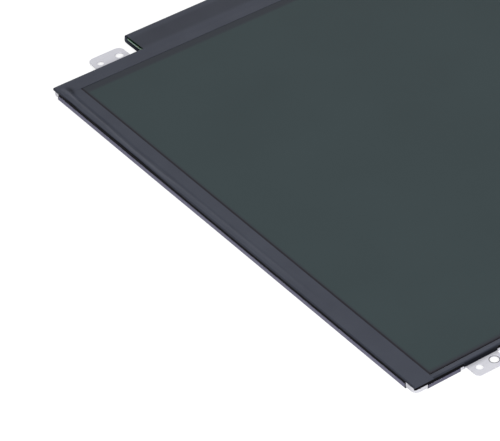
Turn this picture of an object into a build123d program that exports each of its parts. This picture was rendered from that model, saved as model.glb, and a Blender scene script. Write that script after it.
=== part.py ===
from build123d import *
import os
from typing import NamedTuple

# A slim laptop screen panel, lying on its back with the picture facing up.
# +X runs to the right of the picture, +Y from the control board edge to the top edge, +Z out of the face.
# The origin is under the middle of the outline, on the plane of the panel's back. All sizes are in mm.

# Picture area and the borders round it
ACTIVE_WIDTH = 344.23
ACTIVE_HEIGHT = 193.54
SIDE_BORDER = 7.635
TOP_BORDER = 3.6
BOARD_BORDER = 8.46

# Thickness of each layer, from the back to the front
FILM_THICKNESS = 0.12
EMBOSS_PROUD = 0.08
CHASSIS_SHEET = 0.3
REFLECTOR_THICKNESS = 0.15
GUIDE_THICKNESS = 0.5
DIFFUSER_THICKNESS = 0.1
PRISM_THICKNESS = 0.12
SHEET_HEADROOM = 0.09
LIP_THICKNESS = 0.2
BONDING_TAPE_THICKNESS = 0.1
GLASS_THICKNESS = 0.45
REAR_POLARISER_THICKNESS = 0.15
FRONT_POLARISER_THICKNESS = 0.2

# Metal pan
WALL_HEIGHT = 1.25
SIDE_CORNER_HEIGHT = 2.1
TOP_CORNER_HEIGHT = 1.5
CORNER_TURN = 0.7
BEND_RADIUS = 0.1
PAN_TOP_RADIUS = 2.0
PAN_BOARD_RADIUS = 1.3
EMBOSS_MARGIN = 8.0
EMBOSS_SLOPE = 0.6
EMBOSS_CORNER_RADIUS = 6.0
BOARD_WALL_CLEARANCE = 0.2

# Screw ears of the pan
TOP_EAR_WIDTH = 11.9
BOARD_EAR_WIDTH = 14.0
EAR_CORNER_OFFSET = 19.3
EAR_LEVEL = 1.0
EAR_RELIEF = 0.5
TOP_EAR_REACH = 6.2
TOP_EAR_RADIUS = 1.6
TOP_EAR_HOLE_REACH = 2.85
TOP_SCREW_OFFSET = 8.8
TOP_LOCATOR_OFFSET = 3.1
BOARD_EAR_REACH = 8.65
BOARD_EAR_RADIUS = 2.4
BOARD_EAR_HOLE_REACH = 4.2
BOARD_SCREW_OFFSET = 10.8
BOARD_LOCATOR_OFFSET = 3.0
SCREW_HOLE_DIAMETER = 2.9
LOCATOR_HOLE_DIAMETER = 2.4
COINED_RING_DIAMETER = 3.8
COINED_RING_DEPTH = 0.08

# Moulded frame
FRAME_CLEARANCE = 0.08
FRAME_CORNER_RADIUS = 0.8
RIM_SIDE_WIDTH = 1.5
RIM_TOP_WIDTH = 1.1
RIM_BOARD_WIDTH = 1.3
RIM_ROUND = 0.5
LIP_SHADE = 0.8
STRIP_WALL_MARGIN = 3.4

# Light stack: how far each sheet passes the picture, and the fits between them
GUIDE_PAST_SIDE = 2.6
GUIDE_PAST_TOP = 1.7
GUIDE_PAST_BOARD = 3.0
SHEET_PAST_SIDE = 2.4
SHEET_PAST_TOP = 1.6
SHEET_PAST_BOARD = 1.8
STACK_CLEARANCE = 0.2
LOCATING_EAR_LENGTH = 9.0
LOCATING_EAR_REACH = 1.2
LOCATING_EAR_OFFSET = 62.0

# Light strip
LED_COUNT = 42
LED_LENGTH = 3.8
LED_DEPTH = 0.9
LED_GAP = 0.1
LED_WINDOW_MARGIN = 0.35
LED_WINDOW_DEPTH = 0.15
LED_LIP = 0.1
FLEX_THICKNESS = 0.1
STRIP_OVERHANG = 0.7
STRIP_GUIDE_LAP = 0.9
TAIL_WIDTH = 10.0
TAIL_OFFSET = 60.0
TAIL_SLOT_CLEARANCE = 0.1

# Display cell
GLASS_CLEARANCE = 0.2
DRIVE_LEDGE = 3.1
BONDING_TAPE_SETBACK = 0.3
REAR_POLARISER_CLEARANCE = 0.2
POLARISER_PAST_SIDE = 3.1
POLARISER_PAST_TOP = 1.3
POLARISER_PAST_BOARD = 2.9

# Shading films on the face: the dark border that they leave, and how far they roll down over the rim
SIDE_TAPE_GAP = 0.435
TOP_TAPE_GAP = 1.6
BOARD_FILM_GAP = 1.64
FILM_ROLL = 0.35
FILM_ROLL_CLEARANCE = 0.03

# Wall tapes
TAPE_UNDERLAP = 3.5
TAPE_RIM_GAP = 0.05
SIDE_TAPE_BOARD_START = 3.3
SIDE_TAPE_TOP_STOP = 4.6
TOP_TAPE_CORNER_START = 5.0
TOP_TAPE_EAR_GAP = 1.4
TOP_TAPE_RESUME = 4.0

# Control board
BOARD_GAP = 1.5
BOARD_DEPTH = 9.4
BOARD_THICKNESS = 0.6
BOARD_CORNER_RADIUS = 0.8
BOARD_END_SETBACK = 0.05
BOARD_TAIL_CLEARANCE = 0.05
TOOLING_HOLE_DIAMETER = 1.6
TOOLING_HOLE_INSET = 4.0
FOLD_SLACK = 1.2
FLAP_EAR_GAP = 4.15
FILM_UNDERLAP = 3.5

# Source flex films and their driver chips
FLEX_COUNT = 4
FLEX_WIDTH = 36.0
FLEX_GLASS_LAP = 1.7
FLEX_BOARD_LAP = 2.2
FLEX_FALL = 1.4
FLEX_BEND_RADIUS = 0.3
FLEX_WINDOW_CLEARANCE = 0.6
DRIVER_CHIP_LENGTH = 18.0
DRIVER_CHIP_WIDTH = 1.0
DRIVER_CHIP_HEIGHT = 0.3

# Parts on the rear side of the board
CONTROLLER_SIZE = 7.0
CONTROLLER_HEIGHT = 0.75
CONTROLLER_OFFSET = -22.0
POWER_CHIP_SIZE = 4.0
POWER_CHIP_HEIGHT = 0.7
POWER_CHIP_OFFSET = 14.0
LED_CHIP_OFFSET = 84.0
CHIP_CHAMFER = 0.12
INDUCTOR_SIZE = 4.2
INDUCTOR_HEIGHT = 0.95
INDUCTOR_CORNER_RADIUS = 0.9
INDUCTOR_SPACING = 6.5
CAPACITOR_LENGTH = 1.6
CAPACITOR_WIDTH = 0.8
CAPACITOR_HEIGHT = 0.7
CAPACITOR_CAP = 0.35
CAPACITOR_STEP = 0.04
CAPACITOR_PITCH = 2.6
CAPACITOR_COUNT = 8
RESISTOR_LENGTH = 1.0
RESISTOR_WIDTH = 0.5
RESISTOR_HEIGHT = 0.35
RESISTOR_PITCH = 1.6
RESISTOR_COUNT = 9
TAIL_SOCKET_DEPTH = 3.2
TAIL_SOCKET_HEIGHT = 0.8
TAIL_SOCKET_END = 1.4
TAIL_INSERTION = 1.6

# Signal socket at the far end of the board
SOCKET_CONTACTS = 30
SOCKET_PITCH = 0.5
SOCKET_END = 2.6
SOCKET_DEPTH = 3.8
SOCKET_HEIGHT = 0.85
SOCKET_MOUTH_HEIGHT = 0.45
SOCKET_MOUTH_DEPTH = 2.6
SOCKET_MOUTH_MARGIN = 1.2
SOCKET_INSET = 14.0
SOCKET_SETBACK = 0.3
SHELL_THICKNESS = 0.12
SHELL_FOOT = 0.7
CONTACT_WIDTH = 0.2
CONTACT_THICKNESS = 0.1
CONTACT_TAIL = 0.6
WINDOW_MARGIN = 1.5

# Levels above the plane of the back
BORDER_BOTTOM = FILM_THICKNESS + EMBOSS_PROUD
BORDER_TOP = BORDER_BOTTOM + CHASSIS_SHEET
GUIDE_BOTTOM = BORDER_TOP + REFLECTOR_THICKNESS
GUIDE_TOP = GUIDE_BOTTOM + GUIDE_THICKNESS
LOWER_PRISM_BOTTOM = GUIDE_TOP + DIFFUSER_THICKNESS
UPPER_PRISM_BOTTOM = LOWER_PRISM_BOTTOM + PRISM_THICKNESS
UPPER_DIFFUSER_BOTTOM = UPPER_PRISM_BOTTOM + PRISM_THICKNESS
SHEETS_TOP = UPPER_DIFFUSER_BOTTOM + DIFFUSER_THICKNESS
LIP_BOTTOM = SHEETS_TOP + SHEET_HEADROOM
LIP_TOP = LIP_BOTTOM + LIP_THICKNESS
ARRAY_BOTTOM = LIP_TOP + BONDING_TAPE_THICKNESS
ARRAY_TOP = ARRAY_BOTTOM + GLASS_THICKNESS
FILTER_TOP = ARRAY_TOP + GLASS_THICKNESS
DECK = FILTER_TOP + FRONT_POLARISER_THICKNESS
FRONT = DECK + FILM_THICKNESS
WALL_TOP = BORDER_BOTTOM + WALL_HEIGHT
SIDE_CORNER_TOP = BORDER_BOTTOM + SIDE_CORNER_HEIGHT
TOP_CORNER_TOP = BORDER_BOTTOM + TOP_CORNER_HEIGHT
UNDERLAP_BOTTOM = BORDER_BOTTOM - FILM_THICKNESS
BOARD_WALL_TOP = GUIDE_TOP - BOARD_WALL_CLEARANCE
BOARD_BOTTOM = GUIDE_TOP + FLEX_THICKNESS + BOARD_TAIL_CLEARANCE
BOARD_TOP = BOARD_BOTTOM + BOARD_THICKNESS

# Outline and the main places in plan
BODY_WIDTH = ACTIVE_WIDTH + 2 * SIDE_BORDER
BODY_HEIGHT = ACTIVE_HEIGHT + TOP_BORDER + BOARD_BORDER
HALF_WIDTH = BODY_WIDTH / 2
FLAP_REACH = BOARD_GAP + BOARD_DEPTH + FOLD_SLACK
BOARD_EDGE = FLAP_REACH - (BODY_HEIGHT + FLAP_REACH + TOP_EAR_REACH) / 2
TOP_EDGE = BOARD_EDGE + BODY_HEIGHT
EAR_END = HALF_WIDTH - EAR_CORNER_OFFSET
FLAP_HALF = EAR_END - BOARD_EAR_WIDTH - FLAP_EAR_GAP
BOARD_HALF = FLAP_HALF - BOARD_END_SETBACK
BOARD_INNER_EDGE = BOARD_EDGE - BOARD_GAP
BOARD_OUTER_EDGE = BOARD_INNER_EDGE - BOARD_DEPTH
BOARD_MIDDLE = (BOARD_INNER_EDGE + BOARD_OUTER_EDGE) / 2
BEND_OUTER_RADIUS = BEND_RADIUS + CHASSIS_SHEET
SKIN_ROUND = RIM_ROUND + FILM_THICKNESS
SIDE_BAND = SIDE_BORDER - SIDE_TAPE_GAP
TOP_BAND = TOP_BORDER - TOP_TAPE_GAP
BOARD_BAND = BOARD_BORDER - BOARD_FILM_GAP
SOCKET_LENGTH = (SOCKET_CONTACTS - 1) * SOCKET_PITCH + 2 * SOCKET_END
SOCKET_MIDDLE = -BOARD_HALF + SOCKET_INSET + SOCKET_LENGTH / 2
SOCKET_FACE = BOARD_OUTER_EDGE + SOCKET_SETBACK
FLEX_PITCH = 2 * BOARD_HALF / FLEX_COUNT
GUIDE_EDGE = BOARD_EDGE + BOARD_BORDER - GUIDE_PAST_BOARD
LED_FRONT = GUIDE_EDGE - LED_GAP
LED_BACK = LED_FRONT - LED_DEPTH


class Sides(NamedTuple):
    """Distances at the two side edges, the top edge and the board edge."""

    side: float
    top: float
    board: float

    def plus(self, amount):
        return Sides(self.side + amount, self.top + amount, self.board + amount)


FLUSH = Sides(0.0, 0.0, 0.0)


def past_picture(side, top, board):
    """Margins of a piece whose edges pass the picture by the given amounts."""
    return Sides(SIDE_BORDER - side, TOP_BORDER - top, BOARD_BORDER - board)


CHASSIS_MARGINS = FLUSH.plus(FILM_THICKNESS)
FRAME_MARGINS = CHASSIS_MARGINS.plus(CHASSIS_SHEET + FRAME_CLEARANCE)
POCKET_MARGINS = Sides(RIM_SIDE_WIDTH, RIM_TOP_WIDTH, RIM_BOARD_WIDTH)
GLASS_MARGINS = POCKET_MARGINS.plus(GLASS_CLEARANCE)
FILTER_MARGINS = GLASS_MARGINS._replace(board=GLASS_MARGINS.board + DRIVE_LEDGE)
LIP_MARGINS = past_picture(LIP_SHADE, LIP_SHADE, LIP_SHADE)
GUIDE_MARGINS = past_picture(GUIDE_PAST_SIDE, GUIDE_PAST_TOP, GUIDE_PAST_BOARD)
SHEET_MARGINS = past_picture(SHEET_PAST_SIDE, SHEET_PAST_TOP, SHEET_PAST_BOARD)
POLARISER_MARGINS = past_picture(POLARISER_PAST_SIDE, POLARISER_PAST_TOP, POLARISER_PAST_BOARD)


def outline(margins, radius=0.0):
    """Flat outline whose edges stand in from the body's edges by the margins."""
    width = BODY_WIDTH - 2 * margins.side
    height = BODY_HEIGHT - margins.top - margins.board
    middle = BOARD_EDGE + margins.board + height / 2
    shape = RectangleRounded(width, height, radius) if radius else Rectangle(width, height)
    return Pos(0, middle) * shape


def plate(margins, bottom, top, radius=0.0):
    """Flat plate between two levels, with the given margins from the body's edges."""
    return extrude(Pos(0, 0, bottom) * outline(margins, radius), top - bottom)


def bar(x_range, y_range, z_range):
    """Straight rectangular bar between the limits on each axis."""
    low = [min(limits) for limits in (x_range, y_range, z_range)]
    size = [abs(limits[1] - limits[0]) for limits in (x_range, y_range, z_range)]
    corner = (Align.MIN, Align.MIN, Align.MIN)
    return Pos(*low) * Box(*size, align=corner)


def span(middle, length):
    """Limits of a stretch of the given length about its middle."""
    return middle - length / 2, middle + length / 2


def along_x(profile, x_range):
    """Profile in Y and Z, run along X between two places."""
    return extrude(Pos(x_range[0], 0, 0) * (Plane.YZ * profile), x_range[1] - x_range[0])


def group(solids):
    """Several separate solids of one kind as one piece of the model."""
    return Compound([solid for part in solids for solid in part.solids()])


def mirrored(part):
    """The same piece on the other side of the picture's centre line."""
    return mirror(part, Plane.YZ)


# Metal pan

def embossed_block(bottom):
    """Tapered block of the pan's pressed-out back, one pressing deep."""
    low = Pos(0, 0, bottom) * outline(FLUSH.plus(EMBOSS_MARGIN + EMBOSS_SLOPE), EMBOSS_CORNER_RADIUS)
    high = Pos(0, 0, bottom + BORDER_BOTTOM) * outline(FLUSH.plus(EMBOSS_MARGIN), EMBOSS_CORNER_RADIUS)
    return loft([low.face(), high.face()])


def screw_ear(edge, outward, width, reach, radius, hole_reach, screw_offset, locator_offset):
    """Ear bent out of the pan's wall near the right end of one edge, with its two holes.

    The offsets of the holes run from the end of the ear that is nearer to the corner.
    """
    top = EAR_LEVEL + CHASSIS_SHEET
    wall_outer = edge - outward * FILM_THICKNESS
    wall_inner = wall_outer - outward * CHASSIS_SHEET
    tip = edge + outward * reach
    ear = bar((EAR_END - width, EAR_END), (wall_inner, tip), (EAR_LEVEL, top))
    tip_edges = ear.edges().filter_by(Axis.Z).group_by(Axis.Y)[-1 if outward > 0 else 0]
    ear = fillet(tip_edges, radius)
    bend_edge = ear.edges().filter_by(Axis.X).group_by(Axis.Y)[0 if outward > 0 else -1].sort_by(Axis.Z)[-1]
    ear = fillet(bend_edge, CHASSIS_SHEET * 0.9)
    hole_y = edge + outward * hole_reach
    screw_place = Pos(EAR_END - screw_offset, hole_y, EAR_LEVEL)
    locator_place = Pos(EAR_END - locator_offset, hole_y, EAR_LEVEL)
    ear -= extrude(screw_place * Circle(SCREW_HOLE_DIAMETER / 2), CHASSIS_SHEET)
    ear -= extrude(screw_place * Pos(0, 0, CHASSIS_SHEET) * Circle(COINED_RING_DIAMETER / 2), -COINED_RING_DEPTH)
    ear -= extrude(locator_place * Circle(LOCATOR_HOLE_DIAMETER / 2), CHASSIS_SHEET)
    return ear


def wall_opening(x_range, edge, outward, bottom):
    """Block that takes the pan's wall away above a level, along one edge."""
    inner = edge - outward * (FILM_THICKNESS + CHASSIS_SHEET)
    return bar(x_range, (inner, edge), (bottom, WALL_TOP))


def pan_plate(margins, bottom, top, inset):
    """Plate with the pan's corners in plan, at a distance inside the pan's outer face."""
    block = plate(margins, bottom, top)
    block = fillet(block.edges().filter_by(Axis.Z).group_by(Axis.Y)[-1], PAN_TOP_RADIUS - inset)
    return fillet(block.edges().filter_by(Axis.Z).group_by(Axis.Y)[0], PAN_BOARD_RADIUS - inset)


def corner_blocks(clearance):
    """Blocks at the four corners, between the ends of the wall tapes, in which the pan's wall stands higher."""
    side_range = (HALF_WIDTH - PAN_TOP_RADIUS, HALF_WIDTH)
    side_levels = (WALL_TOP, SIDE_CORNER_TOP + clearance)
    turn = TOP_EDGE - CORNER_TURN
    top_range = (TOP_EDGE - SIDE_TAPE_TOP_STOP - clearance, turn + clearance)
    board_range = (BOARD_EDGE, BOARD_EDGE + SIDE_TAPE_BOARD_START + clearance)
    blocks = [bar(side_range, y_range, side_levels) for y_range in (top_range, board_range)]
    end_range = (HALF_WIDTH - TOP_TAPE_CORNER_START - clearance, HALF_WIDTH)
    blocks.append(bar(end_range, (turn, TOP_EDGE), (WALL_TOP, TOP_CORNER_TOP + clearance)))
    return blocks + [mirrored(block) for block in blocks]


def rear_chassis():
    outer = pan_plate(CHASSIS_MARGINS, BORDER_BOTTOM, SIDE_CORNER_TOP, 0.0)
    outer = fillet(outer.edges().group_by(Axis.Z)[0], BEND_OUTER_RADIUS)
    inner = pan_plate(CHASSIS_MARGINS.plus(CHASSIS_SHEET), BORDER_TOP, SIDE_CORNER_TOP, CHASSIS_SHEET)
    inner = chamfer(inner.edges().group_by(Axis.Z)[0], BEND_RADIUS)
    low_stretches = plate(FLUSH, WALL_TOP, SIDE_CORNER_TOP)
    for block in corner_blocks(0.0):
        low_stretches -= block
    pan = outer - inner - low_stretches + embossed_block(0.0) - embossed_block(CHASSIS_SHEET)
    ears = []
    for edge, outward, width in ((TOP_EDGE, 1, TOP_EAR_WIDTH), (BOARD_EDGE, -1, BOARD_EAR_WIDTH)):
        ear_range = (EAR_END - width, EAR_END)
        relief_range = (EAR_END - width - EAR_RELIEF, EAR_END + EAR_RELIEF)
        opening = wall_opening(relief_range, edge, outward, BORDER_TOP)
        opening -= wall_opening(ear_range, edge, outward, BORDER_TOP)
        opening += wall_opening(ear_range, edge, outward, EAR_LEVEL)
        pan = pan - opening - mirrored(opening)
    ears.append(screw_ear(TOP_EDGE, 1, TOP_EAR_WIDTH, TOP_EAR_REACH, TOP_EAR_RADIUS, TOP_EAR_HOLE_REACH,
                          TOP_SCREW_OFFSET, TOP_LOCATOR_OFFSET))
    ears.append(screw_ear(BOARD_EDGE, -1, BOARD_EAR_WIDTH, BOARD_EAR_REACH, BOARD_EAR_RADIUS, BOARD_EAR_HOLE_REACH,
                          BOARD_SCREW_OFFSET, BOARD_LOCATOR_OFFSET))
    low_wall_half = EAR_END - BOARD_EAR_WIDTH - EAR_RELIEF
    pan -= wall_opening((-low_wall_half, low_wall_half), BOARD_EDGE, -1, BOARD_WALL_TOP)
    for ear in ears:
        pan = pan + ear + mirrored(ear)
    return pan


# Moulded frame

def locating_ears(bottom, top, clearance):
    """Four small ears on the side edges of the light guide and the sheets on it."""
    root = HALF_WIDTH - GUIDE_MARGINS.side
    middle = BOARD_EDGE + BOARD_BORDER + ACTIVE_HEIGHT / 2
    ears = []
    for offset in (-LOCATING_EAR_OFFSET, LOCATING_EAR_OFFSET):
        y_range = span(middle + offset, LOCATING_EAR_LENGTH + 2 * clearance)
        x_range = (root - SHEET_PAST_SIDE, root + LOCATING_EAR_REACH + clearance)
        ear = bar(x_range, y_range, (bottom, top))
        ears += [ear, mirrored(ear)]
    return ears


def flex_centres():
    return [(index - (FLEX_COUNT - 1) / 2) * FLEX_PITCH for index in range(FLEX_COUNT)]


def rounded_block(margins, bottom, top, corner_radius, round_radius):
    """Flat block with round corners in plan and a round outer edge on top."""
    block = plate(margins, bottom, top, corner_radius)
    return fillet(block.edges().group_by(Axis.Z)[-1], round_radius)


def rim_block():
    """Upper part of the frame, which stands on the pan's wall and ends flush with it."""
    return rounded_block(CHASSIS_MARGINS, WALL_TOP, DECK, FRAME_CORNER_RADIUS, RIM_ROUND)


def mould_frame():
    inset = CHASSIS_SHEET + FRAME_CLEARANCE
    column = pan_plate(FRAME_MARGINS, BORDER_TOP, WALL_TOP, inset)
    column = chamfer(column.edges().group_by(Axis.Z)[0], BEND_RADIUS)
    frame = column + rim_block()
    kept = pan_plate(FRAME_MARGINS, WALL_TOP, DECK, inset)
    for block in corner_blocks(FRAME_CLEARANCE):
        frame -= block - kept
    frame -= plate(POCKET_MARGINS, LIP_TOP, DECK)
    frame -= plate(LIP_MARGINS, BORDER_TOP, DECK)
    stack_margins = GUIDE_MARGINS.plus(-STACK_CLEARANCE)._replace(board=STRIP_WALL_MARGIN)
    frame -= plate(stack_margins, BORDER_TOP, LIP_BOTTOM)
    for pocket in locating_ears(BORDER_TOP, LIP_BOTTOM, STACK_CLEARANCE):
        frame -= pocket
    rim_range = (BOARD_EDGE, BOARD_EDGE + RIM_BOARD_WIDTH)
    for centre in flex_centres():
        window = span(centre, FLEX_WIDTH + 2 * FLEX_WINDOW_CLEARANCE)
        frame -= bar(window, rim_range, (ARRAY_TOP - TAIL_SLOT_CLEARANCE, DECK))
    slot_width = TAIL_WIDTH + 2 * FLEX_WINDOW_CLEARANCE
    slot_range = (GUIDE_TOP - TAIL_SLOT_CLEARANCE, GUIDE_TOP + FLEX_THICKNESS + TAIL_SLOT_CLEARANCE)
    frame -= bar(span(TAIL_OFFSET, slot_width), (BOARD_EDGE, BOARD_EDGE + STRIP_WALL_MARGIN), slot_range)
    return frame


# Light stack

def reflector_sheet():
    margins = GUIDE_MARGINS._replace(board=LED_BACK - BOARD_EDGE)
    return plate(margins, BORDER_TOP, GUIDE_BOTTOM)


def eared_sheet(margins, bottom, top):
    """Optical sheet with the four ears that hold it in the frame's pockets."""
    sheet = plate(margins, bottom, top)
    for ear in locating_ears(bottom, top, 0.0):
        sheet += ear
    return sheet


def led_flex_board():
    """Flex strip that carries the lamps, with the tail that runs out to the control board."""
    half = ACTIVE_WIDTH / 2
    strip_range = (LED_BACK - STRIP_OVERHANG, GUIDE_EDGE + STRIP_GUIDE_LAP)
    z_range = (GUIDE_TOP, GUIDE_TOP + FLEX_THICKNESS)
    strip = bar((-half, half), strip_range, z_range)
    tail_end = tail_socket_mouth() - TAIL_INSERTION
    return strip + bar(span(TAIL_OFFSET, TAIL_WIDTH), (tail_end, strip_range[0]), z_range)


def led_packages():
    """Row of side-firing lamps along the light guide's edge, each with a recessed window."""
    pitch = ACTIVE_WIDTH / LED_COUNT
    lamp = bar(span(0, LED_LENGTH), (LED_BACK, LED_FRONT), (GUIDE_BOTTOM, GUIDE_TOP))
    window_range = (GUIDE_BOTTOM + LED_LIP, GUIDE_TOP - LED_LIP)
    window = span(0, LED_LENGTH - 2 * LED_WINDOW_MARGIN)
    lamp -= bar(window, (LED_FRONT - LED_WINDOW_DEPTH, LED_FRONT), window_range)
    places = [(index - (LED_COUNT - 1) / 2) * pitch for index in range(LED_COUNT)]
    return group([Pos(place, 0, 0) * lamp for place in places])


# Display cell

def glass_bonding_tape():
    outer = GLASS_MARGINS.plus(BONDING_TAPE_SETBACK)
    inner = LIP_MARGINS.plus(-BONDING_TAPE_SETBACK)
    return plate(outer, LIP_TOP, ARRAY_BOTTOM) - plate(inner, LIP_TOP, ARRAY_BOTTOM)


def rear_polariser():
    margins = LIP_MARGINS.plus(REAR_POLARISER_CLEARANCE)
    return plate(margins, ARRAY_BOTTOM - REAR_POLARISER_THICKNESS, ARRAY_BOTTOM)


def source_flex_films():
    """Flex films that step down from the glass ledge to the top of the control board."""
    glass_end = BOARD_EDGE + GLASS_MARGINS.board + FLEX_GLASS_LAP
    board_end = BOARD_INNER_EDGE - FLEX_BOARD_LAP
    fall_start = BOARD_EDGE
    fall_end = BOARD_EDGE - FLEX_FALL
    lower = [(glass_end, ARRAY_TOP), (fall_start, ARRAY_TOP), (fall_end, BOARD_TOP), (board_end, BOARD_TOP)]
    upper = [(y, z + FLEX_THICKNESS) for y, z in reversed(lower)]
    profile = make_face(Polyline(lower + upper, close=True))
    ends = (glass_end, board_end)
    bends = [vertex for vertex in profile.vertices() if all(abs(vertex.X - end) > FLEX_BEND_RADIUS for end in ends)]
    profile = fillet(bends, FLEX_BEND_RADIUS)
    return group([along_x(profile, span(centre, FLEX_WIDTH)) for centre in flex_centres()])


def source_driver_chips():
    start = BOARD_EDGE + FLEX_BEND_RADIUS
    z_range = (ARRAY_TOP + FLEX_THICKNESS, ARRAY_TOP + FLEX_THICKNESS + DRIVER_CHIP_HEIGHT)
    chips = []
    for centre in flex_centres():
        chips.append(bar(span(centre, DRIVER_CHIP_LENGTH), (start, start + DRIVER_CHIP_WIDTH), z_range))
    return group(chips)


# Control board and what it carries

def control_board():
    blank = Rectangle(2 * BOARD_HALF, BOARD_DEPTH)
    blank = fillet(blank.vertices(), BOARD_CORNER_RADIUS)
    hole_place = BOARD_HALF - TOOLING_HOLE_INSET
    for place in (-hole_place, hole_place):
        blank -= Pos(place, 0) * Circle(TOOLING_HOLE_DIAMETER / 2)
    return extrude(Pos(0, BOARD_MIDDLE, BOARD_BOTTOM) * blank, BOARD_THICKNESS)


def under_board(height):
    """Levels of a part of the given height on the rear side of the board."""
    return BOARD_BOTTOM - height, BOARD_BOTTOM


def flat_chip(offset, size, height):
    """Square leadless chip with bevelled rear edges."""
    chip = bar(span(offset, size), span(BOARD_MIDDLE, size), under_board(height))
    return chamfer(chip.edges().group_by(Axis.Z)[0], CHIP_CHAMFER)


def power_inductors():
    coils = []
    for chip_offset in (POWER_CHIP_OFFSET, LED_CHIP_OFFSET):
        blank = RectangleRounded(INDUCTOR_SIZE, INDUCTOR_SIZE, INDUCTOR_CORNER_RADIUS)
        place = Pos(chip_offset + INDUCTOR_SPACING, BOARD_MIDDLE, BOARD_BOTTOM)
        coil = extrude(place * blank, -INDUCTOR_HEIGHT)
        coils.append(chamfer(coil.edges().group_by(Axis.Z)[0], CHIP_CHAMFER))
    return group(coils)


def ceramic_capacitor(x, y):
    """Chip capacitor with slightly taller end caps."""
    half = CAPACITOR_LENGTH / 2
    inner = half - CAPACITOR_CAP
    tall = -CAPACITOR_HEIGHT
    low = tall + CAPACITOR_STEP
    points = [(-half, 0), (half, 0), (half, tall), (inner, tall), (inner, low),
              (-inner, low), (-inner, tall), (-half, tall)]
    profile = make_face(Polyline(points, close=True))
    body = extrude(Plane.XZ * profile, CAPACITOR_WIDTH / 2, both=True)
    return Pos(x, y, BOARD_BOTTOM) * body


def passive_rows(count, pitch, length_along_y):
    """Places of two rows of small parts, one beside each power chip's coil."""
    row_y = (BOARD_MIDDLE - length_along_y, BOARD_MIDDLE + length_along_y)
    starts = [chip + 2 * INDUCTOR_SPACING for chip in (POWER_CHIP_OFFSET, LED_CHIP_OFFSET)]
    return [(start + index * pitch, y) for start in starts for index in range(count) for y in row_y]


def ceramic_capacitors():
    places = passive_rows(CAPACITOR_COUNT, CAPACITOR_PITCH, CAPACITOR_LENGTH)
    return group([ceramic_capacitor(x, y) for x, y in places])


def chip_resistors():
    start = CONTROLLER_OFFSET - CONTROLLER_SIZE
    resistors = []
    for index in range(RESISTOR_COUNT):
        for y in (BOARD_MIDDLE - RESISTOR_PITCH, BOARD_MIDDLE + RESISTOR_PITCH):
            x_range = span(start - index * RESISTOR_PITCH, RESISTOR_WIDTH)
            resistors.append(bar(x_range, span(y, RESISTOR_LENGTH), under_board(RESISTOR_HEIGHT)))
    return group(resistors)


def tail_socket_mouth():
    return BOARD_MIDDLE + TAIL_SOCKET_DEPTH / 2


def led_tail_socket():
    """Low socket that takes the light strip's tail."""
    mouth = tail_socket_mouth()
    length = TAIL_WIDTH + 2 * TAIL_SOCKET_END
    body = bar(span(TAIL_OFFSET, length), (mouth - TAIL_SOCKET_DEPTH, mouth), under_board(TAIL_SOCKET_HEIGHT))
    slot_range = (GUIDE_TOP - BOARD_TAIL_CLEARANCE, BOARD_BOTTOM)
    slot_width = TAIL_WIDTH + TAIL_SLOT_CLEARANCE
    body -= bar(span(TAIL_OFFSET, slot_width), (mouth - TAIL_INSERTION - TAIL_SLOT_CLEARANCE, mouth), slot_range)
    return chamfer(body.edges().filter_by(Axis.X).group_by(Axis.Z)[0], CHIP_CHAMFER)


def socket_mouth_levels():
    middle = BOARD_BOTTOM - SOCKET_HEIGHT / 2
    return middle - SOCKET_MOUTH_HEIGHT / 2, middle + SOCKET_MOUTH_HEIGHT / 2


def signal_socket_housing():
    """Moulded body of the signal socket, with a long mouth in its outer face."""
    body = bar(span(SOCKET_MIDDLE, SOCKET_LENGTH), (SOCKET_FACE, SOCKET_FACE + SOCKET_DEPTH),
               under_board(SOCKET_HEIGHT))
    mouth = span(SOCKET_MIDDLE, SOCKET_LENGTH - 2 * SOCKET_MOUTH_MARGIN)
    low, high = socket_mouth_levels()
    body -= bar(mouth, (SOCKET_FACE, SOCKET_FACE + SOCKET_MOUTH_DEPTH), (low, high))
    for centre in contact_places():
        groove = span(centre, CONTACT_WIDTH)
        body -= bar(groove, (SOCKET_FACE, SOCKET_FACE + SOCKET_DEPTH), (high, high + CONTACT_THICKNESS))
    return body


def signal_socket_shell():
    """Thin metal cover over the rear and the ends of the socket, with soldered feet."""
    bottom = BOARD_BOTTOM - SOCKET_HEIGHT
    outer_half = SOCKET_LENGTH / 2 + SHELL_THICKNESS
    y_range = (SOCKET_FACE, SOCKET_FACE + SOCKET_DEPTH)
    z_range = (bottom - SHELL_THICKNESS, BOARD_BOTTOM)
    shell = bar(span(SOCKET_MIDDLE, 2 * outer_half), y_range, z_range)
    shell -= bar(span(SOCKET_MIDDLE, SOCKET_LENGTH), y_range, (bottom, BOARD_BOTTOM))
    for side in (-1, 1):
        foot_root = SOCKET_MIDDLE + side * outer_half
        foot = bar((foot_root, foot_root + side * SHELL_FOOT), y_range, (BOARD_BOTTOM - SHELL_THICKNESS, BOARD_BOTTOM))
        shell += foot
    return shell


def contact_places():
    return [SOCKET_MIDDLE + (index - (SOCKET_CONTACTS - 1) / 2) * SOCKET_PITCH for index in range(SOCKET_CONTACTS)]


def signal_socket_contacts():
    """Row of flat springs, each with a tail that steps to the board behind the housing."""
    high = socket_mouth_levels()[1]
    back = SOCKET_FACE + SOCKET_DEPTH
    points = [(SOCKET_FACE + SOCKET_SETBACK, high), (back + CONTACT_THICKNESS, high),
              (back + CONTACT_THICKNESS, BOARD_BOTTOM - CONTACT_THICKNESS),
              (back + CONTACT_TAIL, BOARD_BOTTOM - CONTACT_THICKNESS), (back + CONTACT_TAIL, BOARD_BOTTOM),
              (back, BOARD_BOTTOM), (back, high + CONTACT_THICKNESS),
              (SOCKET_FACE + SOCKET_SETBACK, high + CONTACT_THICKNESS)]
    profile = make_face(Polyline(points, close=True))
    return group([along_x(profile, span(centre, CONTACT_WIDTH)) for centre in contact_places()])


# Films and tapes

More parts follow.
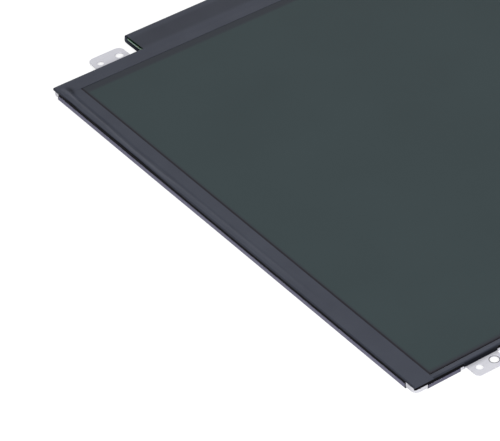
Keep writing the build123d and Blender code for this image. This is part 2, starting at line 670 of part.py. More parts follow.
def face_strip(x_range, y_range):
    """Strip of film on the face between the limits, rolled down where it passes the rim's round edge."""
    skin = rounded_block(FLUSH, WALL_TOP, FRONT, FRAME_CORNER_RADIUS + FILM_THICKNESS, SKIN_ROUND)
    inner_margins = CHASSIS_MARGINS.plus(-FILM_ROLL_CLEARANCE)
    skin -= rounded_block(inner_margins, WALL_TOP, DECK, FRAME_CORNER_RADIUS + FILM_ROLL_CLEARANCE, RIM_ROUND)
    return skin & bar(x_range, y_range, (DECK - FILM_ROLL, FRONT))


def board_cover_film():
    """Film from the face over the control board, round its outer edge and back under the pan."""
    inner_end = BOARD_EDGE + BOARD_BAND
    under_end = BOARD_EDGE + FILM_UNDERLAP
    radius = (FRONT - UNDERLAP_BOTTOM) / 2
    middle = (FRONT + UNDERLAP_BOTTOM) / 2
    fold = BOARD_EDGE - FLAP_REACH + radius
    inner_radius = radius - FILM_THICKNESS
    outside = Polyline((inner_end, DECK), (inner_end, FRONT), (fold, FRONT))
    outside += ThreePointArc((fold, FRONT), (fold - radius, middle), (fold, UNDERLAP_BOTTOM))
    inside = Polyline((fold, UNDERLAP_BOTTOM), (under_end, UNDERLAP_BOTTOM), (under_end, BORDER_BOTTOM),
                      (fold, BORDER_BOTTOM))
    inside += ThreePointArc((fold, BORDER_BOTTOM), (fold - inner_radius, middle), (fold, DECK))
    inside += Line((fold, DECK), (inner_end, DECK))
    loop = along_x(make_face(outside.edges() + inside.edges()), (-FLAP_HALF, FLAP_HALF))
    band = face_strip((-HALF_WIDTH, HALF_WIDTH), (BOARD_EDGE, inner_end))
    band -= bar((-FLAP_HALF, FLAP_HALF), (BOARD_EDGE, BOARD_EDGE + SKIN_ROUND), (WALL_TOP, DECK))
    film = loop + band
    window = span(SOCKET_MIDDLE, SOCKET_LENGTH + 2 * (SHELL_FOOT + WINDOW_MARGIN))
    window_back = SOCKET_FACE + SOCKET_DEPTH + WINDOW_MARGIN
    film -= bar(window, (fold - radius, window_back), (UNDERLAP_BOTTOM, BOARD_BOTTOM))
    return film


def right_border_tape():
    return face_strip((HALF_WIDTH - SIDE_BAND, HALF_WIDTH), (BOARD_EDGE + BOARD_BAND, TOP_EDGE))


def top_border_tape():
    half = HALF_WIDTH - SIDE_BAND
    return face_strip((-half, half), (TOP_EDGE - TOP_BAND, TOP_EDGE))


def wall_tape_profile(edge):
    """Tape section at a wall: up its outside and round its bottom bend, under the pan's border.

    The first coordinate runs outwards to the wall's edge, the second is the level.
    """
    points = [(edge, WALL_TOP - TAPE_RIM_GAP), (edge, UNDERLAP_BOTTOM), (edge - TAPE_UNDERLAP, UNDERLAP_BOTTOM),
              (edge - TAPE_UNDERLAP, BORDER_BOTTOM), (edge - FILM_THICKNESS, BORDER_BOTTOM),
              (edge - FILM_THICKNESS, WALL_TOP - TAPE_RIM_GAP)]
    profile = make_face(Polyline(points, close=True))
    inner_bend = profile.vertices().sort_by_distance((edge - FILM_THICKNESS, BORDER_BOTTOM))[0]
    profile = fillet(inner_bend, BEND_OUTER_RADIUS)
    outer_bend = profile.vertices().sort_by_distance((edge, UNDERLAP_BOTTOM))[0]
    return fillet(outer_bend, BEND_OUTER_RADIUS + FILM_THICKNESS)


def right_wall_tape():
    start = BOARD_EDGE + SIDE_TAPE_BOARD_START
    stop = TOP_EDGE - SIDE_TAPE_TOP_STOP
    section = Plane(origin=(0, stop, 0), x_dir=(1, 0, 0), z_dir=(0, -1, 0)) * wall_tape_profile(HALF_WIDTH)
    return extrude(section, stop - start)


def top_wall_tape(x_range):
    return along_x(wall_tape_profile(TOP_EDGE), x_range)


def top_corner_tape():
    start = HALF_WIDTH - TOP_TAPE_CORNER_START
    stop = EAR_END + EAR_RELIEF + TOP_TAPE_EAR_GAP
    return top_wall_tape((stop, start))


def top_middle_tape():
    half = EAR_END - TOP_EAR_WIDTH - TOP_TAPE_RESUME
    return top_wall_tape((-half, half))


def build_nodes():
    """Every piece of the panel by its name."""
    sheet = SHEET_MARGINS
    return {
        "rear_chassis": rear_chassis(),
        "mould_frame": mould_frame(),
        "reflector_sheet": reflector_sheet(),
        "light_guide_plate": eared_sheet(GUIDE_MARGINS, GUIDE_BOTTOM, GUIDE_TOP),
        "led_flex_board": led_flex_board(),
        "led_packages": led_packages(),
        "lower_diffuser_sheet": eared_sheet(sheet, GUIDE_TOP, LOWER_PRISM_BOTTOM),
        "lower_prism_sheet": eared_sheet(sheet, LOWER_PRISM_BOTTOM, UPPER_PRISM_BOTTOM),
        "upper_prism_sheet": eared_sheet(sheet, UPPER_PRISM_BOTTOM, UPPER_DIFFUSER_BOTTOM),
        "upper_diffuser_sheet": eared_sheet(sheet, UPPER_DIFFUSER_BOTTOM, SHEETS_TOP),
        "glass_bonding_tape": glass_bonding_tape(),
        "rear_polariser": rear_polariser(),
        "array_glass": plate(GLASS_MARGINS, ARRAY_BOTTOM, ARRAY_TOP),
        "colour_filter_glass": plate(FILTER_MARGINS, ARRAY_TOP, FILTER_TOP),
        "front_polariser": plate(POLARISER_MARGINS, FILTER_TOP, DECK),
        "source_flex_films": source_flex_films(),
        "source_driver_chips": source_driver_chips(),
        "control_board": control_board(),
        "timing_controller_chip": flat_chip(CONTROLLER_OFFSET, CONTROLLER_SIZE, CONTROLLER_HEIGHT),
        "panel_power_chip": flat_chip(POWER_CHIP_OFFSET, POWER_CHIP_SIZE, POWER_CHIP_HEIGHT),
        "led_driver_chip": flat_chip(LED_CHIP_OFFSET, POWER_CHIP_SIZE, POWER_CHIP_HEIGHT),
        "power_inductors": power_inductors(),
        "ceramic_capacitors": ceramic_capacitors(),
        "chip_resistors": chip_resistors(),
        "led_tail_socket": led_tail_socket(),
        "signal_socket_housing": signal_socket_housing(),
        "signal_socket_shell": signal_socket_shell(),
        "signal_socket_contacts": signal_socket_contacts(),
        "board_cover_film": board_cover_film(),
        "right_border_tape": right_border_tape(),
        "left_border_tape": mirrored(right_border_tape()),
        "top_border_tape": top_border_tape(),
        "right_wall_tape": right_wall_tape(),
        "left_wall_tape": mirrored(right_wall_tape()),
        "top_wall_tape_right": top_corner_tape(),
        "top_wall_tape_middle": top_middle_tape(),
        "top_wall_tape_left": mirrored(top_corner_tape()),
    }


def main():
    os.makedirs("parts", exist_ok=True)
    for name, piece in build_nodes().items():
        export_step(piece, os.path.join("parts", name + ".step"))


main()
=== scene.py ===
"""Dresses a slim laptop screen panel: its films, tapes and finishes, on a white studio floor."""

import logging
import math
from abc import ABC, abstractmethod
from dataclasses import dataclass
from enum import Enum
from functools import cached_property
from typing import Callable, Sequence

import bmesh
import bpy
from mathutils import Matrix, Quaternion, Vector, noise

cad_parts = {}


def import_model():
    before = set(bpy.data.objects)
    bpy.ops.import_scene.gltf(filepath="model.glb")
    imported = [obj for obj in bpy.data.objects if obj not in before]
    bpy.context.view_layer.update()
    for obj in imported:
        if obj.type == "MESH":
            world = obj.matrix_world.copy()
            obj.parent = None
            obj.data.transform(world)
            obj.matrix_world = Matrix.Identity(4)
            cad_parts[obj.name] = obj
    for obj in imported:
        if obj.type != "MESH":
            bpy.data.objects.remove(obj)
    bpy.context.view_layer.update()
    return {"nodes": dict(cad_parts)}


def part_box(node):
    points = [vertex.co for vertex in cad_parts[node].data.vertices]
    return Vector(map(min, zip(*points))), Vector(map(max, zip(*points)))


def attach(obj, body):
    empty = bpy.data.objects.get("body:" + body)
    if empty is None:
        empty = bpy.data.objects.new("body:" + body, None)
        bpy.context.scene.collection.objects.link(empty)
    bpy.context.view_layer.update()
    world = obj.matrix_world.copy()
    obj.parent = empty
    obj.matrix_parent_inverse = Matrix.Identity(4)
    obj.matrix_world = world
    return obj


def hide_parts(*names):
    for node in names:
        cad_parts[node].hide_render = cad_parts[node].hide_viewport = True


MM = 0.001
TINY = 0.01 * MM
WHITE = (1.0, 1.0, 1.0)
# Range in which most of a soft noise lies
NOISE_RANGE = (0.3, 0.7)
LOG = logging.getLogger("screen_panel")

Triple = tuple[float, float, float]
Colour = Triple
Span = tuple[float, float]
Socket = bpy.types.NodeSocket
Material = bpy.types.Material
Piece = bpy.types.Object


class Side(Enum):
    """The two side edges of the panel, by the sign of X."""

    RIGHT = 1
    LEFT = -1


class Mask(Enum):
    """Which coordinate of the panel a painted band follows."""

    X = "X"
    Y = "Y"
    Z = "Z"


# Shared helpers

def ease(value: float, start: float, stop: float) -> float:
    """Rise smoothly from 0 to 1 between two values."""
    share = min(1.0, max(0.0, (value - start) / (stop - start)))
    return share * share * (3.0 - 2.0 * share)


def hump(value: float, middle: float, reach: float) -> float:
    """Soft bell of height 1 about a middle."""
    return math.exp(-(((value - middle) / reach) ** 2))


def drift(x: float, y: float, size: float, seed: float) -> float:
    """Slow wander from about -1 to 1 over the plan of the panel."""
    return noise.noise(Vector((x / size, y / size, seed)))


def make_active(piece: Piece) -> None:
    """Select one object alone and make it the active one."""
    bpy.ops.object.select_all(action="DESELECT")
    piece.select_set(True)
    bpy.context.view_layer.objects.active = piece


def spread(middle: float, width: float) -> Span:
    """Limits of a stretch of one width about a middle."""
    return middle - width / 2, middle + width / 2


def times(colour: Colour, share: float) -> Colour:
    """Colour with every channel times one share, held at 1."""
    return tuple(min(1.0, channel * share) for channel in colour)


@dataclass(frozen=True)
class PanelFrame:
    """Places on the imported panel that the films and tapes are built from, in metres."""

    half_width: float
    board_edge: float
    top_edge: float
    front: float
    film_thickness: float
    film_end: float
    film_fold: float
    film_bottom: float
    flap_half: float
    picture_x: float
    picture_y: Span
    opening_x: float
    opening_y: Span

    @classmethod
    def measure(cls) -> "PanelFrame":
        """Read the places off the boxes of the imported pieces."""
        rim_low, rim_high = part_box("mould_frame")
        film_low, film_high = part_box("board_cover_film")
        wall_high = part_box("right_wall_tape")[1]
        board_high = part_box("control_board")[1]
        face_low, face_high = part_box("front_polariser")
        thickness = film_high.z - face_high.z
        board_setback = 0.05 * MM
        face_past_side = 3.1 * MM
        face_past_top = 1.3 * MM
        face_past_board = 2.9 * MM
        return cls(
            half_width=wall_high.x,
            board_edge=rim_low.y - thickness,
            top_edge=rim_high.y + thickness,
            front=film_high.z,
            film_thickness=thickness,
            film_end=film_high.y,
            film_fold=film_low.y,
            film_bottom=film_low.z,
            flap_half=board_high.x + board_setback,
            picture_x=face_high.x - face_past_side,
            picture_y=(face_low.y + face_past_board, face_high.y - face_past_top),
            opening_x=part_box("right_border_tape")[0].x,
            opening_y=(film_high.y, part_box("top_border_tape")[0].y),
        )


# Finishes

class NodeTree:
    """Node tree with short calls that add and join its nodes."""

    def __init__(self, tree: bpy.types.NodeTree) -> None:
        """Take up a tree that exists."""
        self.nodes = tree.nodes
        self.links = tree.links

    def join(self, source: Socket, target: Socket) -> None:
        """Join two sockets."""
        self.links.new(source, target)

    def sum_up(self, operation: str, first: Socket, second: Socket | float = 0.0) -> Socket:
        """One step of arithmetic.

        Args:
            operation: Name of the operation.
            first: First number.
            second: Second number, a socket or a plain value.

        Returns:
            The result.
        """
        step = self.nodes.new("ShaderNodeMath")
        step.operation = operation
        self.join(first, step.inputs[0])
        if isinstance(second, float):
            step.inputs[1].default_value = second
        else:
            self.join(second, step.inputs[1])
        return step.outputs["Value"]

    def ranged(self, source: Socket, given: Span, wanted: Span = (0.0, 1.0), soft: bool = False) -> Socket:
        """Stretch a number from one range to another, held at the ends.

        Args:
            source: Number to stretch.
            given: Range that it comes in.
            wanted: Range that it goes to.
            soft: Whether the change eases in and out.

        Returns:
            The stretched number.
        """
        ranger = self.nodes.new("ShaderNodeMapRange")
        ranger.interpolation_type = "SMOOTHSTEP" if soft else "LINEAR"
        self.join(source, ranger.inputs["Value"])
        for name, value in zip(("From Min", "From Max", "To Min", "To Max"), given + wanted):
            ranger.inputs[name].default_value = value
        return ranger.outputs["Result"]

    def seen_directly(self, limits: Span) -> Socket:
        """Number that has a value of its own for rays from the camera, off gloss and through glass.

        Args:
            limits: Value for all other rays, and value for those rays.

        Returns:
            The number.
        """
        path = self.nodes.new("ShaderNodeLightPath")
        switch = path.outputs["Is Camera Ray"]
        for name in ("Is Glossy Ray", "Is Transmission Ray"):
            switch = self.sum_up("MAXIMUM", switch, path.outputs[name])
        return self.ranged(switch, (0.0, 1.0), limits)


class Paint(NodeTree):
    """Node tree of one finish."""

    def __init__(self, name: str, roughness: float, specular: float, metallic: float = 0.0) -> None:
        """Start a finish.

        Args:
            name: Name of the material.
            roughness: Roughness where nothing else is fed.
            specular: Specular level of the surface.
            metallic: 1 for metal and 0 for the rest.
        """
        self.material = bpy.data.materials.new(name)
        self.material.use_nodes = True
        super().__init__(self.material.node_tree)
        self.surface = self.nodes["Principled BSDF"]
        self.fix("Roughness", roughness)
        self.fix("Specular IOR Level", specular)
        self.fix("Metallic", metallic)

    def fix(self, name: str, value: float) -> None:
        """Set one number on the surface shader."""
        self.surface.inputs[name].default_value = value

    def tint(self, name: str, colour: Colour) -> None:
        """Set one colour on the surface shader."""
        self.surface.inputs[name].default_value = (*colour, 1.0)

    def feed(self, name: str, source: Socket) -> None:
        """Join a socket to the surface shader."""
        self.links.new(source, self.surface.inputs[name])

    @cached_property
    def place(self) -> Socket:
        """Place on the panel, in metres."""
        return self.nodes.new("ShaderNodeTexCoord").outputs["Object"]

    def scaled(self, size: float, stretch: Triple) -> Socket:
        """Place on the panel, counted in pattern sizes.

        Args:
            size: Size of the pattern, in metres.
            stretch: How many times longer the pattern is along each axis.

        Returns:
            The scaled place.
        """
        mapping = self.nodes.new("ShaderNodeMapping")
        mapping.inputs["Scale"].default_value = [1.0 / (size * share) for share in stretch]
        self.join(self.place, mapping.inputs["Vector"])
        return mapping.outputs["Vector"]

    def grain(self, size: float, detail: float = 2.0, stretch: Triple = (1.0, 1.0, 1.0)) -> Socket:
        """Soft noise over the surface.

        Args:
            size: Size of one patch, in metres.
            detail: Octaves of finer noise in it.
            stretch: How many times longer the patches are along each axis.

        Returns:
            The noise, from 0 to 1.
        """
        texture = self.nodes.new("ShaderNodeTexNoise")
        texture.inputs["Scale"].default_value = 1.0
        texture.inputs["Detail"].default_value = detail
        self.join(self.scaled(size, stretch), texture.inputs["Vector"])
        return texture.outputs["Fac"]

    def cells(self, size: float, stretch: Triple = (1.0, 1.0, 1.0)) -> Socket:
        """Distance to the nearest of scattered points, in pattern sizes.

        Args:
            size: Distance between the points, in metres.
            stretch: How many times further apart they are along each axis.

        Returns:
            The distance.
        """
        texture = self.nodes.new("ShaderNodeTexVoronoi")
        texture.inputs["Scale"].default_value = 1.0
        self.join(self.scaled(size, stretch), texture.inputs["Vector"])
        return texture.outputs["Distance"]

    def coordinate(self, mask: Mask) -> Socket:
        """One coordinate of the place on the panel, in metres."""
        split = self.nodes.new("ShaderNodeSeparateXYZ")
        self.join(self.place, split.inputs["Vector"])
        return split.outputs[mask.value]

    def facing(self, mask: Mask) -> Socket:
        """How far the surface faces along one axis, from 0 to 1 either way."""
        geometry = self.nodes.new("ShaderNodeNewGeometry")
        split = self.nodes.new("ShaderNodeSeparateXYZ")
        self.join(geometry.outputs["Normal"], split.inputs["Vector"])
        return self.sum_up("ABSOLUTE", split.outputs[mask.value])

    def band(self, value: Socket, limits: Span, soft: float) -> Socket:
        """Mask that is 1 between two values of a number.

        Args:
            value: Number to read.
            limits: Values where the mask is half way.
            soft: Width of the change.

        Returns:
            The mask, from 0 to 1.
        """
        rise = self.ranged(value, spread(limits[0], soft))
        fall = self.ranged(value, spread(limits[1], soft), (1.0, 0.0))
        return self.sum_up("MULTIPLY", rise, fall)

    def within(self, mask: Mask, limits: Span, soft: float) -> Socket:
        """Mask that is 1 between two places along an axis."""
        return self.band(self.coordinate(mask), limits, soft)

    def inside(self, half_width: float, y_range: Span, soft: float) -> Socket:
        """Mask that is 1 in a field on the face that is the same to the left and to the right."""
        across = self.within(Mask.X, (-half_width, half_width), soft)
        return self.sum_up("MULTIPLY", across, self.within(Mask.Y, y_range, soft))

    def ring(self, centre: Span, radii: Span, soft: float) -> Socket:
        """Mask that is 1 on a ring on the ears, and on its mirror image.

        Args:
            centre: Middle of the ring in plan.
            radii: Inner and outer radius, in metres.
            soft: Width of the change, in metres.

        Returns:
            The mask, from 0 to 1.
        """
        across = self.sum_up("SUBTRACT", self.sum_up("ABSOLUTE", self.coordinate(Mask.X)), centre[0])
        along = self.sum_up("SUBTRACT", self.coordinate(Mask.Y), centre[1])
        squares = [self.sum_up("MULTIPLY", length, length) for length in (across, along)]
        return self.band(self.sum_up("SQRT", self.sum_up("ADD", *squares)), radii, soft)

    def blend(self, share: Socket, first: Colour | Socket, second: Colour | Socket) -> Socket:
        """Mix two colours.

        Args:
            share: Share of the second colour.
            first: Colour at share 0.
            second: Colour at share 1.

        Returns:
            The mixed colour.
        """
        mixer = self.nodes.new("ShaderNodeMix")
        mixer.data_type = "RGBA"
        self.join(share, mixer.inputs["Factor"])
        colour_inputs = [socket for socket in mixer.inputs if socket.type == "RGBA"]
        for socket, colour in zip(colour_inputs, (first, second)):
            if isinstance(colour, tuple):
                socket.default_value = (*colour, 1.0)
            else:
                self.join(colour, socket)
        return next(socket for socket in mixer.outputs if socket.type == "RGBA")

    def mottle(self, pattern: Socket, low: Colour, high: Colour, given: Span = NOISE_RANGE) -> Socket:
        """Mix two colours by a pattern."""
        return self.blend(self.ranged(pattern, given), low, high)

    def roughen(self, pattern: Socket, roughness: Span, given: Span = NOISE_RANGE) -> None:
        """Let the roughness of the surface follow a pattern."""
        self.feed("Roughness", self.ranged(pattern, given, roughness))

    def emboss(self, heights: Sequence[tuple[Socket, float]]) -> None:
        """Raise fine relief on the surface.

        Args:
            heights: Each pattern with its height, in metres.
        """
        normal = None
        for height, distance in heights:
            bump = self.nodes.new("ShaderNodeBump")
            bump.inputs["Strength"].default_value = 1.0
            bump.inputs["Distance"].default_value = distance
            self.join(height, bump.inputs["Height"])
            if normal is not None:
                self.join(normal, bump.inputs["Normal"])
            normal = bump.outputs["Normal"]
        self.feed("Normal", normal)


@dataclass(frozen=True, kw_only=True)
class Finish(ABC):
    """Look of one material, painted on a node tree of its own."""

    name: str
    roughness: Span
    specular: float = 0.5
    metallic: float = 0.0

    @abstractmethod
    def coat(self, paint: Paint) -> None:
        """Paint the look on a fresh node tree."""

    def make(self) -> Material:
        """Build the material."""
        paint = Paint(self.name, self.roughness[0], self.specular, self.metallic)
        self.coat(paint)
        return paint.material


@dataclass(frozen=True, kw_only=True)
class RolledMetal(Finish):
    """Thin sheet metal with the fine lines of the rolling mill."""

    light: Colour
    dark: Colour
    metallic: float = 1.0
    line_length: float = 60.0
    line_width: float = 0.12 * MM
    line_height: float = 0.002 * MM
    cloud_size: float = 18 * MM
    cloud_height: float = 0.02 * MM
    cloud_shade: float = 0.35
    scuff_size: float = 0.5 * MM
    scuff_stretch: Triple = (30.0, 3.0, 3.0)
    rings: tuple[Span, ...] = ()
    ring_radii: Span = (1.52 * MM, 1.78 * MM)
    ring_softness: float = 0.1 * MM
    ring_shade_colour: Colour = (0.16, 0.16, 0.175)

    def coat(self, paint: Paint) -> None:
        """Paint the lines, the clouds and painted shade in the coined rings round the screw holes."""
        lines = paint.grain(self.line_width, 3.0, (self.line_length, 1.0, 1.0))
        clouds = paint.grain(self.cloud_size, 3.0)
        scuffs = paint.grain(self.scuff_size, 4.0, self.scuff_stretch)
        shade = paint.ranged(clouds, (0.35, 0.7), (0.0, self.cloud_shade), soft=True)
        tone = paint.blend(shade, paint.mottle(lines, self.dark, self.light), self.dark)
        # Each ring is painted shade for the shadow inside the coined step round a screw hole
        for centre in self.rings:
            tone = paint.blend(paint.ring(centre, self.ring_radii, self.ring_softness), tone, self.ring_shade_colour)
        paint.feed("Base Color", tone)
        paint.roughen(scuffs, self.roughness, (0.35, 0.75))
        paint.emboss([(lines, self.line_height), (clouds, self.cloud_height)])


@dataclass(frozen=True, kw_only=True)
class MouldedPlastic(Finish):
    """Opaque moulded plastic with a fine spark-eroded texture."""

    light: Colour
    dark: Colour
    texture_size: float = 0.12 * MM
    texture_height: float = 0.006 * MM
    flow_size: float = 6 * MM
    flow_stretch: Triple = (3.0, 1.0, 1.0)

    def coat(self, paint: Paint) -> None:
        """Paint the flow of the melt and the texture of the mould."""
        texture = paint.grain(self.texture_size, 3.0)
        flow = paint.grain(self.flow_size, stretch=self.flow_stretch)
        paint.feed("Base Color", paint.mottle(flow, self.dark, self.light))
        paint.roughen(texture, self.roughness)
        paint.emboss([(texture, self.texture_height)])


@dataclass(frozen=True, kw_only=True)
class AntiGlareFace(Finish):
    """Satin front polariser: greenish over the picture, greyer over the masked border, with a painted shadow by
    the tapes.
    """

    picture_x: float
    picture_y: Span
    opening_x: float
    opening_y: Span
    picture_light: Colour = (0.0445, 0.0664, 0.0714)
    picture_dark: Colour = (0.0411, 0.0614, 0.0659)
    border: Colour = (0.0365, 0.0424, 0.0535)
    side_border: float = 0.7 * MM
    top_border: float = 0.1 * MM
    board_border: float = 1.9 * MM
    border_softness: float = 1.2 * MM
    tape_shadow: Colour = (0.0155, 0.0135, 0.0195)
    tape_shadow_width: float = 0.75 * MM
    tape_shadow_softness: float = 0.5 * MM
    roughness: Span = (0.4, 0.46)
    specular: float = 0.07
    sparkle_size: float = 0.06 * MM
    sparkle_height: float = 0.0012 * MM
    cloud_size: float = 40 * MM
    cloud_height: float = 0.01 * MM

    def coat(self, paint: Paint) -> None:
        """Paint the picture, its masked border and the painted shadow of the tape edges."""
        sparkle = paint.grain(self.sparkle_size)
        clouds = paint.grain(self.cloud_size)
        picture_x = self.picture_x - self.side_border
        picture_y = (self.picture_y[0] + self.board_border, self.picture_y[1] - self.top_border)
        in_picture = paint.inside(picture_x, picture_y, self.border_softness)
        picture = paint.mottle(clouds, self.picture_dark, self.picture_light)
        masked = paint.blend(in_picture, self.border, picture)
        # Painted shadow: a dark line on the face along the inner edges of the tapes and the board film
        clear_x = self.opening_x - self.tape_shadow_width
        clear_y = (self.opening_y[0] - self.tape_shadow_softness, self.opening_y[1] - self.tape_shadow_width)
        clear = paint.inside(clear_x, clear_y, self.tape_shadow_softness)
        paint.feed("Base Color", paint.blend(clear, self.tape_shadow, masked))
        paint.roughen(sparkle, self.roughness)
        paint.emboss([(sparkle, self.sparkle_height), (clouds, self.cloud_height)])


@dataclass(frozen=True, kw_only=True)
class SatinFilm(Finish):
    """Dark printed plastic film with a lengthwise grain, and painted shade and painted highlights on it."""

    light: Colour
    dark: Colour
    # Colours of the painted shade and of the painted highlight
    painted_shade_colour: Colour
    painted_highlight_colour: Colour
    grain_stretch: Triple
    gloss: Colour = (0.84, 0.89, 1.0)
    streak_size: float = 0.35 * MM
    streak_height: float = 0.0015 * MM
    streak_share: float = 0.5
    pore_size: float = 0.09 * MM
    pore_height: float = 0.002 * MM
    cloud_size: float = 14 * MM
    cloud_height: float = 0.03 * MM

    def coat(self, paint: Paint) -> None:
        """Paint the grain, and the painted light and shade stored on the sheet's corners."""
        paint.tint("Specular Tint", self.gloss)
        streaks = paint.grain(self.streak_size, 3.0, self.grain_stretch)
        pores = paint.grain(self.pore_size)
        clouds = paint.grain(self.cloud_size, 3.0)
        tone = paint.mottle(clouds, self.dark, self.light)
        streaked = paint.blend(paint.ranged(streaks, (0.45, 0.8), (0.0, self.streak_share)), tone, self.dark)
        # Painted light and shade from the sheet: a mark up to 1 blends to the painted shade colour, below 0 to the
        # painted highlight colour
        mark = paint.nodes.new("ShaderNodeAttribute")
        mark.attribute_name = FoldedStrip.SHADING_MARK
        darkened = paint.blend(mark.outputs["Fac"], streaked, self.painted_shade_colour)
        lightness = paint.sum_up("MULTIPLY", mark.outputs["Fac"], -1.0)
        paint.feed("Base Color", paint.blend(lightness, darkened, self.painted_highlight_colour))
        paint.roughen(pores, self.roughness)
        paint.emboss([(pores, self.pore_height), (streaks, self.streak_height), (clouds, self.cloud_height)])


@dataclass(frozen=True, kw_only=True)
class WhiteSheet(Finish):
    """Foamed white optical sheet with a faint fibrous cloud."""

    light: Colour = (0.86, 0.86, 0.85)
    dark: Colour = (0.78, 0.785, 0.78)
    roughness: Span = (0.4, 0.55)
    specular: float = 0.4
    fibre_size: float = 0.8 * MM
    fibre_stretch: Triple = (4.0, 1.0, 1.0)
    bead_size: float = 0.05 * MM
    bead_height: float = 0.004 * MM

    def coat(self, paint: Paint) -> None:
        """Paint the fibres and the beads."""
        fibres = paint.grain(self.fibre_size, 4.0, self.fibre_stretch)
        paint.feed("Base Color", paint.mottle(fibres, self.dark, self.light, (0.35, 0.65)))
        paint.roughen(fibres, self.roughness)
        paint.emboss([(paint.cells(self.bead_size), self.bead_height)])


@dataclass(frozen=True, kw_only=True)
class ClearSheet(Finish):
    """Clear acrylic or film with a repeated optical relief."""

    tint: Colour
    relief_size: float
    relief_stretch: Triple = (1.0, 1.0, 1.0)
    relief_height: float = 0.02 * MM
    roughness: Span = (0.08, 0.2)
    transmission: float = 0.85
    index: float = 1.49
    haze_size: float = 5 * MM
    haze_share: float = 1.05

    def coat(self, paint: Paint) -> None:
        """Paint the haze and the relief."""
        relief = paint.cells(self.relief_size, self.relief_stretch)
        haze = paint.grain(self.haze_size, 3.0)
        paint.fix("Transmission Weight", self.transmission)
        paint.fix("IOR", self.index)
        paint.feed("Base Color", paint.mottle(haze, self.tint, times(self.tint, self.haze_share)))
        paint.roughen(haze, self.roughness)
        paint.emboss([(relief, self.relief_height)])


@dataclass(frozen=True, kw_only=True)
class PanelGlass(Finish):
    """Thin display glass, coated with a faint grid of electrodes."""

    tint: Colour = (0.74, 0.8, 0.78)
    coated: Colour = (0.6, 0.64, 0.66)
    roughness: Span = (0.02, 0.07)
    transmission: float = 0.9
    index: float = 1.51
    grid: float = 0.25 * MM
    grid_stretch: Triple = (1.0, 3.0, 1.0)
    haze_size: float = 9 * MM
    haze_height: float = 0.002 * MM

    def coat(self, paint: Paint) -> None:
        """Paint the electrodes and the haze."""
        paint.fix("Transmission Weight", self.transmission)
        paint.fix("IOR", self.index)
        cells = paint.cells(self.grid, self.grid_stretch)
        haze = paint.grain(self.haze_size)
        paint.feed("Base Color", paint.mottle(cells, self.tint, self.coated, (0.2, 0.6)))
        paint.roughen(haze, self.roughness)
        paint.emboss([(haze, self.haze_height)])


@dataclass(frozen=True, kw_only=True)
class AmberFlex(Finish):
    """Amber flex film with copper lines under its cover."""

    across: Mask
    line_pitch: float
    line_height: float = 0.012 * MM
    film: Colour = (0.42, 0.19, 0.035)
    film_shade: float = 0.8
    line: Colour = (0.52, 0.29, 0.09)
    roughness: Span = (0.24, 0.4)
    cloud_size: float = 5 * MM

    def coat(self, paint: Paint) -> None:
        """Paint the copper lines on the clouded film."""
        turns = paint.sum_up("MULTIPLY", paint.coordinate(self.across), 2 * math.pi / self.line_pitch)
        lines = paint.ranged(paint.sum_up("SINE", turns), (-0.1, 0.3))
        clouds = paint.grain(self.cloud_size, 3.0)
        film = paint.mottle(clouds, times(self.film, self.film_shade), self.film)
        paint.feed("Base Color", paint.blend(lines, film, self.line))
        paint.roughen(clouds, self.roughness)
        paint.emboss([(lines, self.line_height)])


@dataclass(frozen=True, kw_only=True)
class BoardLaminate(Finish):
    """Green solder mask over copper lines, with the pale cut edge of the laminate."""

    mask_light: Colour = (0.012, 0.055, 0.024)
    mask_dark: Colour = (0.006, 0.029, 0.013)
    edge: Colour = (0.37, 0.52, 0.43)
    edge_shade: float = 0.75
    pad: Colour = (0.62, 0.5, 0.24)
    roughness: Span = (0.7, 0.32)
    long_line: float = 0.7 * MM
    long_stretch: Triple = (14.0, 1.0, 1.0)
    cross_line: float = 0.9 * MM
    cross_stretch: Triple = (1.0, 7.0, 1.0)
    line_height: float = 0.02 * MM
    via_pitch: float = 2.4 * MM
    fibre_size: float = 0.1 * MM
    fibre_stretch: Triple = (8.0, 8.0, 1.0)
    fibre_height: float = 0.004 * MM

    def coat(self, paint: Paint) -> None:
        """Paint the printed faces and the cut edge."""
        along = paint.grain(self.long_line, 1.0, self.long_stretch)
        across = paint.grain(self.cross_line, 1.0, self.cross_stretch)
        lines = paint.ranged(paint.sum_up("MAXIMUM", along, across), (0.56, 0.6))
        vias = paint.ranged(paint.cells(self.via_pitch), (0.1, 0.13), (1.0, 0.0))
        printed = paint.blend(vias, paint.blend(lines, self.mask_dark, self.mask_light), self.pad)
        fibres = paint.grain(self.fibre_size, stretch=self.fibre_stretch)
        edge = paint.mottle(fibres, times(self.edge, self.edge_shade), self.edge, (0.35, 0.65))
        flat = paint.ranged(paint.facing(Mask.Z), (0.4, 0.6))
        paint.feed("Base Color", paint.blend(flat, edge, printed))
        paint.roughen(flat, self.roughness, (0.0, 1.0))
        paint.emboss([(lines, self.line_height), (fibres, self.fibre_height)])


@dataclass(frozen=True, kw_only=True)
class LampBody(Finish):
    """White lamp housings with a phosphor-yellow window in the front."""

    window_y: Span
    window_softness: float = 0.02 * MM
    body: Colour = (0.82, 0.81, 0.76)
    body_shade: float = 0.9
    phosphor: Colour = (0.85, 0.68, 0.12)
    roughness: Span = (0.35, 0.55)
    specular: float = 0.45
    grain_size: float = 0.15 * MM
    grain_height: float = 0.006 * MM

    def coat(self, paint: Paint) -> None:
        """Paint the body and its window."""
        grain = paint.grain(self.grain_size, 3.0)
        body = paint.mottle(grain, times(self.body, self.body_shade), self.body)
        window = paint.within(Mask.Y, self.window_y, self.window_softness)
        paint.feed("Base Color", paint.blend(window, body, self.phosphor))
        paint.roughen(grain, self.roughness)
        paint.emboss([(grain, self.grain_height)])


